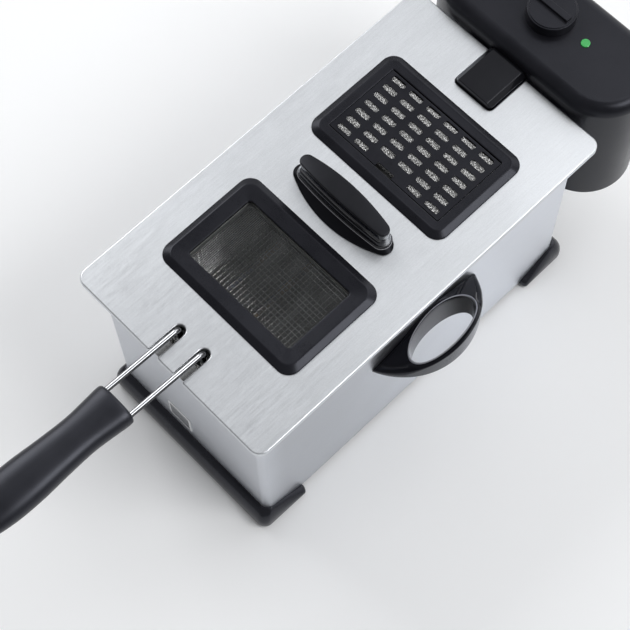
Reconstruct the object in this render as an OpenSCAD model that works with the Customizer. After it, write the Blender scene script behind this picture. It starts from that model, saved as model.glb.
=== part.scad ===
// Domestic deep fryer with a lift-off lid, a lift-out basket, a removable oil
// pot and a lift-off control unit. Millimetres. The floor is z = 0, the front
// faces -Y and +X is on the right seen from the front. Inside the modules y is
// measured from the front edge of the lid; placed() moves it to the part frame.

/* [Lid] */
// Overhang of the lid over each side of the casing
lid_side = 13.35; // [10:0.05:16]
// Overhang of the lid over the casing's rear face
lid_back = 11.6; // [8:0.2:14]
// Height of the lid's top face above the floor
lid_top = 216; // [205:1:225]
// Corner radius of the lid
lid_r = 10; // [6:1:16]
// Thickness of the lid skin
lid_t = 1; // [0.8:0.1:1.5]
// Height of the lid's turned-down rim
lid_rim = 5; // [4:0.5:6]
// Width of each slot for a handle wire
slot_w = 9.6; // [8:0.2:12]
// Length of each slot for a handle wire
slot_l = 32.8; // [30:0.2:36]
// Width of the rear notch
notch_w = 41; // [36:1:46]
// Depth of the rear notch
notch_l = 42.7; // [40:0.1:46]
// Thickness of the liner sheet
liner_t = 0.8; // [0.6:0.1:1.2]
// Height of the liner's locating bead
bead_h = 4; // [3:0.5:6]

/* [Window] */
// Width of the window frame's bands beside the glass
win_side = 18; // [14:0.5:20]
// Width of the window frame's bands before and behind the glass
win_band = 17.75; // [14:0.25:20]
// Corner radius of both frames on the lid
frame_r = 12; // [9:0.5:15]
// Height of both frames above the lid
frame_h = 4; // [3:0.5:5]
// Clear length of the glass
glass_w = 114; // [106:1:118]
// Clear width of the glass
glass_l = 67; // [60:1:70]
// Thickness of the glass
glass_t = 4; // [3:0.5:5]
// Thickness of the glass seal
seal_t = 1; // [0.8:0.1:1.5]
// Distance from the lid's front edge to the window centre
win_y = 110; // [106:1:114]

/* [Filter] */
// Width of the filter frame's bands beside the cover
filt_side = 13.95; // [11:0.05:16]
// Width of the filter frame's bands before and behind the cover
filt_band = 14.1; // [11:0.1:16]
// Distance from the filter frame to the rear notch of the lid
filt_back = 14.9; // [8:0.1:18]
// Length of the filter cover
cover_w = 121.6; // [114:0.2:124]
// Width of the filter cover
cover_l = 73.6; // [68:0.2:76]
// Thickness of the filter cover
cover_t = 3; // [2.6:0.2:3.6]
// Length of each vent slot
vent_w = 14; // [10:0.5:15.5]
// Width of each vent slot
vent_l = 5.2; // [4:0.2:6.4]
// Spacing of the vent slots across the lid
vent_px = 19.7; // [18:0.1:20]
// Spacing of the vent slots along the lid
vent_py = 10.45; // [9.6:0.05:10.6]
// Width of the finger notch in the cover
finger_w = 18; // [14:1:22]
// Thickness of the charcoal filter
charcoal_t = 2.4; // [2:0.2:2.6]
// Thickness of the metal mesh filter
mesh_t = 2; // [1.6:0.2:2.2]

/* [Lid handle] */
// Length of the handle's base
hand_w = 107; // [98:1:114]
// Width of the handle's base
hand_l = 41.4; // [36:0.2:46]
// Length of the handle's cap
cap_w = 94; // [86:1:98]
// Width of the handle's cap
cap_l = 18; // [15:0.5:22]
// Height of the whole handle
hand_h = 27; // [22:0.5:32]
// Thickness of the cap
cap_t = 3; // [2:0.5:4]
// Rise of the cap's arch
cap_rise = 6; // [4:0.5:8]

/* [Casing] */
// Width of the casing
case_w = 183.3; // [176:0.1:188]
// Length of the casing
case_l = 358.2; // [348:0.2:364]
// Distance from the lid's front edge to the casing's front face
case_y = 11.2; // [9:0.1:13]
// Thickness of the casing sheet
case_t = 1; // [0.8:0.1:1.5]
// Corner radius of the casing
case_r = 7; // [5:0.5:9]
// Width of the casing's inward flanges
flange_w = 3; // [2:0.2:3.4]
// Width of the front name plate
plate_w = 27.4; // [20:0.2:40]
// Height of the front name plate
plate_h = 26; // [20:1:32]
// Thickness of the front name plate
plate_t = 0.8; // [0.5:0.1:1.2]

/* [Feet] */
// Height of the rubber pads
pad_h = 2; // [1.5:0.5:3]
// Radius of the rubber pads
pad_r = 7; // [5:0.5:8]
// Thickness of the feet under the casing
foot_t = 3; // [2.5:0.5:4]
// How far the feet stand out beyond the casing
foot_out = 5.6; // [4:0.2:8]
// Height of the front foot
foot_hf = 22; // [16:1:28]
// Height of the rear foot
foot_hr = 26; // [20:1:34]
// Length of the feet along the sides
foot_l = 44; // [34:1:52]
// Thickness of the base plate
base_t = 1.5; // [1:0.1:2]

/* [Side handles] */
// Length of a side handle at the casing
wing_l = 121; // [110:1:130]
// How far a side handle stands out
wing_out = 40; // [34:1:44]
// Distance from the middle of the casing to the middle of a side handle
wing_back = 5.2; // [0:0.2:10]
// Height of the top of a side handle above the floor
wing_top = 155; // [148:1:160]
// Depth of a side handle at its middle
wing_h = 27; // [22:1:32]
// Drop of a side handle's top towards its ends
wing_drop = 16; // [12:1:20]
// Length of the finger hole
hole_l = 72; // [64:1:78]
// Width of the finger hole
hole_w = 34; // [28:0.5:36]
// Width of the lip around the finger hole
lip_w = 1.6; // [1:0.2:2.2]
// Height of the lip around the finger hole
lip_h = 1.4; // [0.8:0.2:2]

/* [Oil pot] */
// Distance from the casing's side to the pot's side wall
pot_side = 5.15; // [4:0.05:8]
// Distance from the casing's front face to the pot's front wall
pot_front = 5.3; // [4:0.1:8]
// Distance from the casing's rear face to the pot's rear wall
pot_rear = 16.4; // [14:0.2:20]
// Height of the pot's underside above the floor
pot_z = 57; // [40:1:65]
// Thickness of the pot sheet
pot_t = 1; // [0.8:0.1:1.5]
// Corner radius of the pot
pot_r = 20; // [16:1:26]
// Width of the pot's outer flange
pot_rim = 11.5; // [10:0.5:13]
// Height of the ledge that carries the basket
ledge_z = 105; // [100:1:110]
// Width of the ledge at the sides
ledge_w = 12; // [10:0.5:14]
// Width of the ledge at the front
ledge_l = 25; // [23:1:28]

/* [Basket] */
// Distance from the pot's side wall to the basket
bask_side = 6.5; // [5:0.5:9]
// Distance from the pot's rear wall to the basket
bask_rear = 22.5; // [20:0.5:28]
// Height of the basket over its wires
bask_h = 96; // [86:1:98]
// Radius of the basket's rim wires
rim_r = 2; // [1.5:0.1:2.4]
// Radius of the basket's rib wires
rib_r = 1.2; // [1:0.1:1.5]
// Thickness of the basket's mesh wall
net_t = 0.8; // [0.6:0.1:1.2]
// Spacing of the openings in the mesh wall
net_p = 12; // [10:0.5:16]
// Width of the bars in the mesh wall
net_bar = 4; // [3:0.2:5]
// Corner radius of the basket
bask_r = 16; // [12:1:20]
// Gap from the pot's front wall to the basket's front
bask_gap = 16; // [15:0.5:18]

/* [Basket handle] */
// Radius of a handle wire
wire_r = 2.4; // [2:0.1:2.8]
// Distance of a handle wire from the middle
wire_x = 14; // [12:0.5:16]
// Bend radius of a handle wire
wire_bend = 5; // [4:0.5:7]
// Upward tilt of the handle in degrees
wire_tilt = 3.5; // [2:0.5:6]
// Height of the wires over the lid
wire_over = 1; // [0.6:0.2:2]
// Free length of the wires before the grip
wire_free = 70; // [60:1:80]
// Depth of the wires in the grip
wire_in = 40; // [30:1:50]
// Depth of the wires in their sockets
wire_plug = 45; // [38:1:48]
// Length of the grip
grip_l = 138; // [120:1:150]
// Width of the grip
grip_w = 39; // [35:1:43]
// Thickness of the grip
grip_h = 24; // [20:1:28]
// Wall of the sockets
socket_t = 1.8; // [1.4:0.1:2]

/* [Control unit] */
// Width of the control housing
unit_w = 212; // [200:1:220]
// Depth of the control housing
unit_l = 88; // [80:1:96]
// Height of the control housing
unit_h = 140; // [126:1:150]
// Height of the housing's underside above the floor
unit_z = 96; // [88:1:100]
// Wall of the control housing
unit_t = 2.5; // [2:0.1:3]
// Radius of the housing's upper edge
unit_edge = 11; // [8:0.5:14]
// Gap between the lid and the housing
unit_gap = 1.5; // [1:0.1:2]
// Height of the bridge above the lid
bridge_h = 6.5; // [5.5:0.5:8]
// Wall of the bridge
bridge_t = 2; // [1.6:0.1:2.4]
// Thickness of the element bracket
brack_t = 0.8; // [0.6:0.1:1]
// Radius of the heating tube
tube_r = 3.25; // [3:0.05:3.4]
// Height of the heating loop above the pot's bottom
tube_z = 35; // [28:1:38]
// Bend radius of the heating tube
tube_bend = 10; // [9:0.5:12]
// Half width of the heating loop
loop_x = 58; // [50:1:62]
// Half width of the inner hairpin
pin_x = 24; // [20:1:28]
// Radius of the dial
dial_r = 21; // [18:0.5:24]
// Height of the dial
dial_h = 14; // [10:0.5:16]
// Radius of the dial's shaft
shaft_r = 3; // [2.5:0.1:3.5]
// Radius of the reset button
reset_r = 4; // [3:0.5:5]
// Travel of the reset button
reset_go = 2; // [1:0.5:3]
// Radius of a lamp lens
lamp_r = 4; // [3:0.5:5]
// Distance of a lamp from the middle
lamp_x = 38; // [32:1:44]

/* [Fasteners] */
// Radius of the screws
screw_r = 1.5; // [1.2:0.1:1.8]
// Radius of the screw heads
head_r = 3; // [2.6:0.1:3.2]
// Height of the screw heads
head_h = 1.6; // [1.2:0.1:2]

/* [Hidden] */
$fn = 64;
eps = 0.01;
over = 1;
// clearances: seats of loose bodies, running fits, assembled fits
seat = 0.2;
gap = 0.3;
run = 0.06;
fit = 0.1;
bite = 0.02;

// heights of the stack
lid_w = case_w + 2 * lid_side;
lid_l = case_y + case_l + lid_back;
pot_w = case_w - 2 * pot_side;
pot_l = case_l - pot_front - pot_rear;
pot_y = case_y + pot_front;
bask_w = pot_w - 2 * bask_side;
bask_l = pot_l - 2 * pot_t - bask_gap - bask_rear;
win_w = glass_w + 2 * win_side;
win_l = glass_l + 2 * win_band;
filt_w = cover_w + 2 * filt_side;
filt_l = cover_l + 2 * filt_band;
lid_under = lid_top - lid_t;
skirt_z = lid_top - lid_rim;
foot_z = pad_h;
screw_in = 9;
screw_far = 38;
pad_in = (screw_in + screw_far) / 2;
floor_flange = 14;
foot_flange = 16;
vent_slot = 44;
vent_step = 16;
vent_mid = 35;
base_z = foot_z + foot_t;
case_z = base_z + base_t;
case_top = skirt_z;
potrim_z = case_top + seat;
potrim_top = potrim_z + pot_t;
liner_z = potrim_top + seat;
liner_top = liner_z + liner_t;

// centres along the body
lid_cy = lid_l / 2;
case_cy = case_y + case_l / 2;
case_back = case_y + case_l;
wing_y = case_cy + wing_back;
pot_cy = pot_y + pot_l / 2;
pot_back = pot_y + pot_l;
pot_inner_back = pot_back - pot_t;
unit_y = lid_l + unit_gap;
unit_back = unit_y + unit_l;
unit_cy = unit_y + unit_l / 2;
unit_top = unit_z + unit_h;
notch_y = lid_l - notch_l;
filt_y = notch_y - filt_back - filt_l / 2;
notch_r = 4;
bridge_gap = 0.6;

// basket handle
slot_r = slot_w / 2;
wire_y = slot_l - slot_r;
wire_z = lid_top + wire_over + wire_r;
bend_z = wire_z - wire_bend;
bend_y = wire_y - wire_bend;
turn = 90 - wire_tilt;
run_y = bend_y + wire_bend * cos(turn);
run_z = bend_z + wire_bend * sin(turn);
socket_r = wire_r + run;
socket_out = socket_r + socket_t;
plug_z = ledge_z + bask_h - wire_plug;

// grip
tail_h = 15;
grip_y = run_y - wire_free * cos(wire_tilt);
grip_z = run_z + wire_free * sin(wire_tilt);
grip_end = grip_y - grip_l * cos(wire_tilt) - tail_h / 2 * sin(wire_tilt);
frame_y = (grip_end + unit_back) / 2;

// basket
bask_y = pot_y + pot_t + bask_gap;
bask_cy = bask_y + bask_l / 2;
bask_z = ledge_z + seat;
bask_top = bask_z + bask_h;

// frames on the lid
glass_pad = 4.2;
glass_full_w = glass_w + 2 * glass_pad;
glass_full_l = glass_l + 2 * glass_pad;
neck_t = 3;
neck_w = glass_full_w + 2 * fit + 2 * neck_t;
neck_l = glass_full_l + 2 * fit + 2 * neck_t;
seal_top = lid_under;
glass_top = seal_top - seal_t;
glass_z = glass_top - glass_t;
clamp_t = 2.4;
clamp_out = 6.5;
clamp_z = glass_z - clamp_t;
screw_len = 8;

neck_r = 6;
pane_r = 5;
pocket_r = 1;

// locating bead of the liner
bead_gap = 3;
bead_back = 4.3;
bead_l = notch_y - bead_back - (pot_y + pot_t + bead_gap / 2);
bead_cy = pot_y + pot_t + bead_gap / 2 + bead_l / 2;

// filter
fpock_w = cover_w + 0.8;
fpock_l = cover_l + 0.8;
fneck_w = fpock_w + 2 * neck_t;
fneck_l = fpock_l + 2 * neck_t;
fneck_z = glass_z;
fledge_t = 1.5;
fledge_w = 5;
char_z = fneck_z + fledge_t;
mesh_z = char_z + charcoal_t + fit;
cover_top = lid_top + frame_h - 0.4;
cover_z = cover_top - cover_t;
hinge_r = cover_t / 2;
hinge_y = filt_y + cover_l / 2 - hinge_r;
hinge_z = cover_z + hinge_r;
pin_r = 1;
pin_l = 2;
vent_nx = 6;
vent_ny = 7;

// name plate
plate_x = 14.5;
plate_z = 53;
plate_r = 1.5;

// lid handle
hand_shift = 1.075;
hand_y = (win_y + win_l / 2 + filt_y - filt_l / 2) / 2 + hand_shift;
hand_base = 3;
neck_drop = 1.5;
neck_step = 1.2;
arch_r = (pow(cap_w / 2, 2) + pow(cap_rise, 2)) / (2 * cap_rise);
hand_top = lid_top + hand_h;
arch_z = hand_top - arch_r;
hand_screw_x = 28;

// side handles
wing_r = (pow(wing_l / 2, 2) + pow(wing_out, 2)) / (2 * wing_out);
wing_x = case_w / 2;
wing_cx = wing_x + wing_out - wing_r;
wing_arch = (pow(wing_l / 2, 2) + pow(wing_drop, 2)) / (2 * wing_drop);
wing_z = wing_top - wing_h;
hole_x = wing_x + 1.6 + lip_w + hole_w / 2;
wing_screw_y = wing_l / 2 - 14;
wing_screw_z = wing_z + 5;
wing_bite = 10;

// control unit
cavity_w = unit_w - 2 * unit_t;
cavity_l = unit_l - 2 * unit_t;
cavity_top = unit_top - unit_t;
unit_r = unit_l / 2 - eps;
brack_w = notch_w - 2;
brack_y = pot_inner_back - 4;
brack_z = potrim_top + seat;
leg_x = 11;
leg_y = brack_y - tube_r - fit;
tube_mid = brack_z + brack_t + tube_r;
loop_z = pot_z + pot_t + tube_z;
block_y = unit_y + 20;
block_l = 9;
block_w = 44;
block_h = 26;
dial_y = unit_cy + 4;
stat_w = 34;
stat_l = 28;
stat_h = 26;
bulb_r = 2.4;
bulb_z = loop_z + 14;
bulb_h = 62;
cap_r = 0.8;
// side arcs of an oval against the arcs that would touch its ends
oval_waist = 0.96;
back_w = 118;
back_h = 96;
back_z = unit_z + 14;
back_r = 8;
reset_x = 30;
reset_z = back_z + back_h / 2;
cup_t = 1.6;
cut_r = 8;
cut_l = 10;
press_t = 1.2;
web_y = unit_back - unit_t - 1;
press_y = web_y - gap - press_t;
cut_y = press_y - reset_go - gap - cut_l;
ledge_out = 2.5;
ledge_in = 9;
gland_x = 60;
gland_r = 7;
gland_bore = 3.6;
gland_h = 12;
gland_lip = 9;
rail_x = 46;
rail_w = 10;
rail_h = 90;
rail_z = unit_z + 8;
rail_bite = 8;
cheek_t = 2.4;
cheek_out = 8;
lamp_flange = 1.5;
switch_x = 52;
switch_w = 20;
switch_l = 8;
switch_h = 12;
unit_wall_y = unit_y + unit_t;

steel = [0.80, 0.81, 0.82];
chrome = [0.88, 0.89, 0.90];
black = [0.10, 0.10, 0.11];
dark = [0.16, 0.16, 0.17];
zinc = [0.66, 0.67, 0.68];

// moves the lid-edge coordinates to the part frame
module placed() {
    translate([0, -frame_y, 0]) children();
}

// centred rectangle with round corners
module rrect(sx, sy, r) {
    square([sx - 2 * r, sy], center = true);
    square([sx, sy - 2 * r], center = true);
    for (a = [-1, 1], b = [-1, 1]) {
        translate([a * (sx / 2 - r), b * (sy / 2 - r)]) circle(r);
    }
}

// flat block with round corners, centred on x = 0
module slab(sx, sy, r, cy, z, h) {
    translate([0, cy, z]) linear_extrude(h) rrect(sx, sy, r);
}

// closed ring between two round-cornered outlines
module loop(sx, sy, r, w, cy, z, h) {
    translate([0, cy, z]) linear_extrude(h) difference() {
        rrect(sx, sy, r);
        rrect(sx - 2 * w, sy - 2 * w, max(r - w, 1));
    }
}

// oval of two side arcs and two round ends, longest along x
module oval(long, wide, end_r) {
    a = wide / 2;
    x_end = long / 2 - end_r;
    side_r = oval_waist * (pow(x_end, 2) + a * a - end_r * end_r) / (2 * (a - end_r));
    x_cut = x_end * (1 + end_r / norm([x_end, side_r - a]));
    intersection() {
        translate([0, a - side_r]) circle(side_r, $fn = 180);
        translate([0, side_r - a]) circle(side_r, $fn = 180);
        union() {
            square([2 * x_cut, 2 * wide], center = true);
            for (s = [-1, 1]) translate([s * x_end, 0]) circle(end_r);
        }
    }
}

// rod along y, from y1 to y2
module rod_y(x, y1, y2, z, r) {
    translate([x, y1, z]) rotate([-90, 0, 0]) cylinder(h = y2 - y1, r = r);
}

// rod along x, from x1 to x2
module rod_x(x1, x2, y, z, r) {
    translate([x1, y, z]) rotate([0, 90, 0]) cylinder(h = x2 - x1, r = r);
}

// flat quarter bend of a rod about a vertical axis, starting at an angle
module bend_flat(cx, cy, z, rb, r, a0, sweep) {
    translate([cx, cy, z]) rotate([0, 0, a0]) rotate_extrude(angle = sweep)
        translate([rb, 0]) circle(r);
}

// closed round-cornered loop of wire
module wire_loop(sx, sy, rc, cy, z, r) {
    for (s = [-1, 1]) {
        rod_x(rc - sx / 2, sx / 2 - rc, cy + s * sy / 2, z, r);
        rod_y(s * sx / 2, cy + rc - sy / 2, cy + sy / 2 - rc, z, r);
    }
    for (q = [0:3]) {
        qx = q == 0 || q == 3 ? 1 : -1;
        qy = q < 2 ? 1 : -1;
        bend_flat(qx * (sx / 2 - rc), cy + qy * (sy / 2 - rc), z, rc, r, q * 90, 90);
    }
}

// screw pointing up with its head below, seated at z
module screw_up(x, y, z, len) {
    translate([x, y, z]) cylinder(h = len, r = screw_r);
    translate([x, y, z - head_h]) cylinder(h = head_h, r = head_r);
}

// cuts for the wire slots and the rear notch
module lid_cuts(z1, z2, grow) {
    for (s = [-1, 1]) translate([s * wire_x, 0, z1]) {
        translate([0, wire_y, 0]) cylinder(h = z2 - z1, r = slot_r + grow);
        translate([-slot_r - grow, -over, 0]) cube([slot_w + 2 * grow, wire_y + over, z2 - z1]);
    }
    translate([0, notch_y - grow, z1]) linear_extrude(z2 - z1) {
        translate([-notch_w / 2 - grow, notch_r]) square([notch_w + 2 * grow, notch_l + over]);
        translate([-notch_w / 2 - grow + notch_r, 0]) square([notch_w + 2 * grow - 2 * notch_r, notch_r + over]);
        for (s = [-1, 1]) translate([s * (notch_w / 2 + grow - notch_r), notch_r]) circle(notch_r);
    }
}

module casing() {
    color(steel) placed() difference() {
        union() {
            loop(case_w, case_l, case_r, case_t, case_cy, case_z, case_top - case_z);
            loop(case_w - case_t, case_l - case_t, case_r - case_t / 2, floor_flange, case_cy, case_z, case_t);
            loop(case_w - case_t, case_l - case_t, case_r - case_t / 2, flange_w, case_cy,
                case_top - case_t, case_t);
        }
        for (p = base_points()) translate([p[0], p[1], case_z - over]) cylinder(h = 2 * over + case_t, r = screw_r + bite);
        for (s = [-1, 1]) wing_screws(s, screw_r + fit);
        for (s = [-1, 1], q = [0, 1]) rod_y(s * rail_x, case_back - case_t - over, case_back + over,
            rail_screw_z(q), screw_r + fit);
    }
}

function base_points() = [for (s = [-1, 1], y = [case_y + screw_in, case_y + screw_far, case_back - screw_far, case_back - screw_in])
    [s * (case_w / 2 - screw_in), y]];

function rail_screw_z(q) = rail_z + 14 + q * (rail_h - 28);

module wing_screws(s, r) {
    for (q = [-1, 1]) mirror([s > 0 ? 0 : 1, 0, 0]) rod_x(wing_x - case_t - over, wing_x + wing_bite,
        wing_y + q * wing_screw_y, wing_screw_z, r);
}

module base_plate() {
    color(dark) placed() difference() {
        slab(case_w - 2, case_l - 2, case_r - 1, case_cy, base_z, base_t);
        for (p = base_points()) translate([p[0], p[1], base_z - over]) cylinder(h = 2 * over + base_t, r = screw_r + fit);
        for (i = [-4:4], s = [-1, 1]) translate([s * vent_mid, case_cy + i * vent_step, base_z - over])
            linear_extrude(base_t + 2 * over) rrect(vent_slot, vent_l, vent_l / 2 - eps);
    }
}

// side profile that gives a foot its tapering ends, y from the foot's outer face
module foot_profile(h) {
    tip = 6;
    polygon([[-over, foot_z], [foot_l + foot_out - 3, foot_z], [foot_l + foot_out, foot_z + 3],
        [foot_l + foot_out, foot_z + tip], [foot_l + foot_out - 4, foot_z + tip + 4],
        [(foot_l + foot_out) * 0.62, foot_z + tip + (h - tip) * 0.52],
        [(foot_l + foot_out) * 0.3, foot_z + tip + (h - tip) * 0.86],
        [foot_out, foot_z + h], [-over, foot_z + h]]);
}

module foot_end(h) {
    outer_w = case_w + 2 * foot_out;
    outer_l = case_l + 2 * foot_out;
    edge = 2.4;
    difference() {
        intersection() {
            union() {
                slab(outer_w, outer_l, case_r + foot_out, case_cy, foot_z, h - edge);
                slab(outer_w - edge, outer_l - edge, case_r + foot_out - edge / 2, case_cy, foot_z + h - edge - eps, edge / 2 + eps);
                slab(outer_w - 2 * edge, outer_l - 2 * edge, case_r + foot_out - edge, case_cy,
                    foot_z + h - edge / 2 - eps, edge / 2 + eps);
            }
            translate([-outer_w / 2 - over, case_y - foot_out, 0]) rotate([90, 0, 90])
                linear_extrude(outer_w + 2 * over) foot_profile(h);
        }
        slab(case_w, case_l, case_r, case_cy, base_z, h + over);
        slab(case_w - 2 * foot_flange, case_l - 2 * foot_flange, case_r, case_cy, foot_z - over, foot_t + 2 * over);
        for (p = base_points()) {
            translate([p[0], p[1], foot_z - over]) cylinder(h = 2 * over + foot_t, r = screw_r + fit);
            translate([p[0], p[1], foot_z - over]) cylinder(h = over + head_h, r = head_r + fit);
        }
    }
}

module front_foot() {
    color(black) placed() foot_end(foot_hf);
}

module rear_foot() {
    color(black) placed() translate([0, 2 * case_cy, 0]) mirror([0, 1, 0]) foot_end(foot_hr);
}

module foot_pads() {
    color(dark) placed() for (s = [-1, 1], q = [0, 1])
        translate([s * (case_w / 2 - screw_in), q == 0 ? case_y + pad_in : case_back - pad_in, 0]) cylinder(h = pad_h, r = pad_r);
}

module base_screws() {
    color(zinc) placed() for (p = base_points()) screw_up(p[0], p[1], foot_z + head_h, case_z + case_t - foot_z);
}

// arched side profile of a handle, extruded outwards
module wing_side(rise, low) {
    translate([wing_x - over, wing_y, 0]) rotate([90, 0, 90]) linear_extrude(wing_out + 2 * over) intersection() {
        translate([0, wing_top - wing_arch]) circle(wing_arch + rise, $fn = 180);
        translate([-wing_l, low]) square([2 * wing_l, 2 * wing_h]);
    }
}

// upright oval prism around the finger hole
module wing_oval(grow) {
    translate([hole_x, wing_y, wing_z - over]) rotate([0, 0, 90]) linear_extrude(wing_h + lip_h + 3 * over)
        oval(hole_l + 2 * grow, hole_w + 2 * grow, hole_w * 0.32 + grow);
}

// one side handle, on the +x side
module wing() {
    difference() {
        union() {
            intersection() {
                translate([0, wing_y, wing_z - over]) linear_extrude(wing_h + 3 * over) intersection() {
                    translate([wing_cx, 0]) circle(wing_r, $fn = 180);
                    translate([wing_x, -wing_l]) square([wing_out + over, 2 * wing_l]);
                }
                wing_side(0, wing_z);
            }
            intersection() {
                wing_oval(lip_w);
                wing_side(lip_h, wing_z + over);
            }
        }
        wing_oval(0);
        wing_screws(1, screw_r + bite);
    }
}

module right_handle() {
    color(black) placed() wing();
}

module left_handle() {
    color(black) placed() mirror([1, 0, 0]) wing();
}

module casing_screws() {
    color(zinc) placed() {
        for (s = [0, 1], q = [-1, 1]) mirror([s, 0, 0]) {
            rod_x(wing_x - case_t, wing_x + wing_bite, wing_y + q * wing_screw_y, wing_screw_z, screw_r);
            rod_x(wing_x - case_t - head_h, wing_x - case_t, wing_y + q * wing_screw_y, wing_screw_z, head_r);
        }
        for (s = [-1, 1], q = [0, 1]) {
            rod_y(s * rail_x, case_back - case_t, case_back + rail_bite, rail_screw_z(q), screw_r);
            rod_y(s * rail_x, case_back - case_t - head_h, case_back - case_t, rail_screw_z(q), head_r);
        }
    }
}

module name_plate() {
    color(zinc) placed() translate([-plate_x, case_y, plate_z]) rotate([90, 0, 0]) linear_extrude(plate_t)
        rrect(plate_w, plate_h, plate_r);
}

module guide_rails() {
    color(dark) placed() for (s = [-1, 1]) difference() {
        translate([s * rail_x - rail_w / 2, case_back, rail_z]) cube([rail_w, unit_y - gap - case_back, rail_h]);
        for (q = [0, 1]) rod_y(s * rail_x, case_back - over, case_back + rail_bite, rail_screw_z(q), screw_r + bite);
    }
}

module oil_pot() {
    low_w = pot_w - 2 * ledge_w;
    low_l = pot_l - ledge_l;
    low_cy = pot_y + ledge_l + low_l / 2;
    color(steel) placed() difference() {
        union() {
            slab(pot_w, pot_l, pot_r, pot_cy, ledge_z - pot_t, potrim_z - ledge_z + pot_t + eps);
            slab(low_w, low_l, pot_r, low_cy, pot_z, ledge_z - pot_z);
            translate([0, pot_cy + 1.5, potrim_z]) linear_extrude(pot_t) rrect(pot_w + 2 * pot_rim, pot_l + 2 * pot_rim + 8, lid_r);
        }
        slab(pot_w - 2 * pot_t, pot_l - 2 * pot_t, pot_r - pot_t, pot_cy, ledge_z, potrim_top - ledge_z + over);
        slab(low_w - 2 * pot_t, low_l - 2 * pot_t, pot_r - pot_t, low_cy, pot_z + pot_t, ledge_z - pot_z + over);
    }
}

// block with round vertical corners and a rounded upper edge
module soft_block(sx, sy, h, rv, re) {
    linear_extrude(h - re) rrect(sx, sy, rv);
    translate([0, 0, h - re]) linear_extrude(re) rrect(sx - 2 * re, sy - 2 * re, rv - re);
    for (a = [0, 1, 2, 3]) {
        ax = a == 0 || a == 3 ? 1 : -1;
        ay = a < 2 ? 1 : -1;
        translate([ax * (sx / 2 - rv), ay * (sy / 2 - rv), h - re]) rotate([0, 0, a * 90]) rotate_extrude(angle = 90)
            translate([rv - re, 0]) quarter(re);
    }
    for (s = [0, 1]) rotate([0, 0, s * 180]) {
        translate([rv - sx / 2, re - sy / 2, h - re]) rotate([90, 0, 90]) mirror([1, 0, 0])
            linear_extrude(sx - 2 * rv) quarter(re);
        translate([sx / 2 - re, rv - sy / 2, h - re]) rotate([90, 0, 0]) mirror([0, 0, 1])
            linear_extrude(max(sy - 2 * rv, eps)) quarter(re);
    }
}

module quarter(r) {
    intersection() {
        circle(r);
        square([r, r]);
    }
}

module control_housing() {
    color(black) placed() difference() {
        union() {
            difference() {
                translate([0, unit_cy, unit_z]) soft_block(unit_w, unit_l, unit_h, unit_r, unit_edge);
                translate([0, unit_cy, unit_z - over]) soft_block(cavity_w, cavity_l, unit_h - unit_t + over,
                    unit_r - unit_t, unit_edge - unit_t);
            }
            difference() {
                translate([-back_w / 2 - ledge_out, unit_back - 2 * unit_t, back_z - ledge_out])
                    cube([back_w + 2 * ledge_out, unit_t + eps, back_h + 2 * ledge_out]);
                translate([ledge_in - back_w / 2, unit_back - 2 * unit_t - over, back_z + ledge_in])
                    cube([back_w - 2 * ledge_in, unit_t + 2 * over, back_h - 2 * ledge_in]);
            }
            for (s = [-1, 1], q = [-1, 1]) translate([s * rail_x + q * (rail_w / 2 + gap + cheek_t / 2) - cheek_t / 2,
                unit_y - cheek_out, rail_z + 6]) cube([cheek_t, cheek_out + eps, rail_h - 12]);
        }
        translate([-back_w / 2, unit_back - unit_t - over, back_z]) cube([back_w, unit_t + 2 * over, back_h]);
        translate([-brack_w / 2 - fit, unit_y - over, brack_z - fit]) cube([brack_w + 2 * fit, unit_t + 2 * over,
            tube_mid + tube_r + over - brack_z]);
        translate([0, dial_y, cavity_top - over]) cylinder(h = unit_t + 2 * over, r = shaft_r + run);
        for (s = [-1, 1]) translate([s * lamp_x, dial_y, cavity_top - over]) cylinder(h = unit_t + 2 * over, r = lamp_r + run);
        for (p = control_points()) rod_y(p[0], unit_back - 2 * unit_t - over, unit_back, p[1], screw_r + bite);
    }
}

function control_points() = [for (s = [-1, 1], q = [0, 1])
    [s * (back_w - ledge_in) / 2, back_z + ledge_in / 2 + q * (back_h - ledge_in)]];

module control_back() {
    color(dark) placed() difference() {
        union() {
            translate([fit - back_w / 2, unit_back - unit_t, back_z + fit]) cube([back_w - 2 * fit, unit_t, back_h - 2 * fit]);
            rod_y(reset_x, cut_y, unit_back - unit_t + eps, reset_z, cut_r + run + cup_t);
        }
        rod_y(reset_x, cut_y - over, web_y, reset_z, cut_r + run);
        rod_y(reset_x, web_y - over, unit_back + over, reset_z, reset_r + run);
        for (p = control_points()) {
            rod_y(p[0], unit_back - unit_t - over, unit_back + over, p[1], screw_r + fit);
            rod_y(p[0], unit_back - head_h, unit_back + over, p[1], head_r + fit);
        }
    }
}

module control_screws() {
    color(zinc) placed() for (p = control_points()) {
        rod_y(p[0], unit_back - 2 * unit_t - 2, unit_back - head_h, p[1], screw_r);
        rod_y(p[0], unit_back - head_h, unit_back, p[1], head_r);
    }
}

module control_base() {
    color(dark) placed() difference() {
        slab(cavity_w - 2 * fit, cavity_l - 2 * fit, unit_r - unit_t - fit, unit_cy, unit_z, unit_t);
        translate([-gland_x, unit_cy, unit_z - over]) cylinder(h = unit_t + 2 * over, r = gland_r + run);
    }
}

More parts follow.
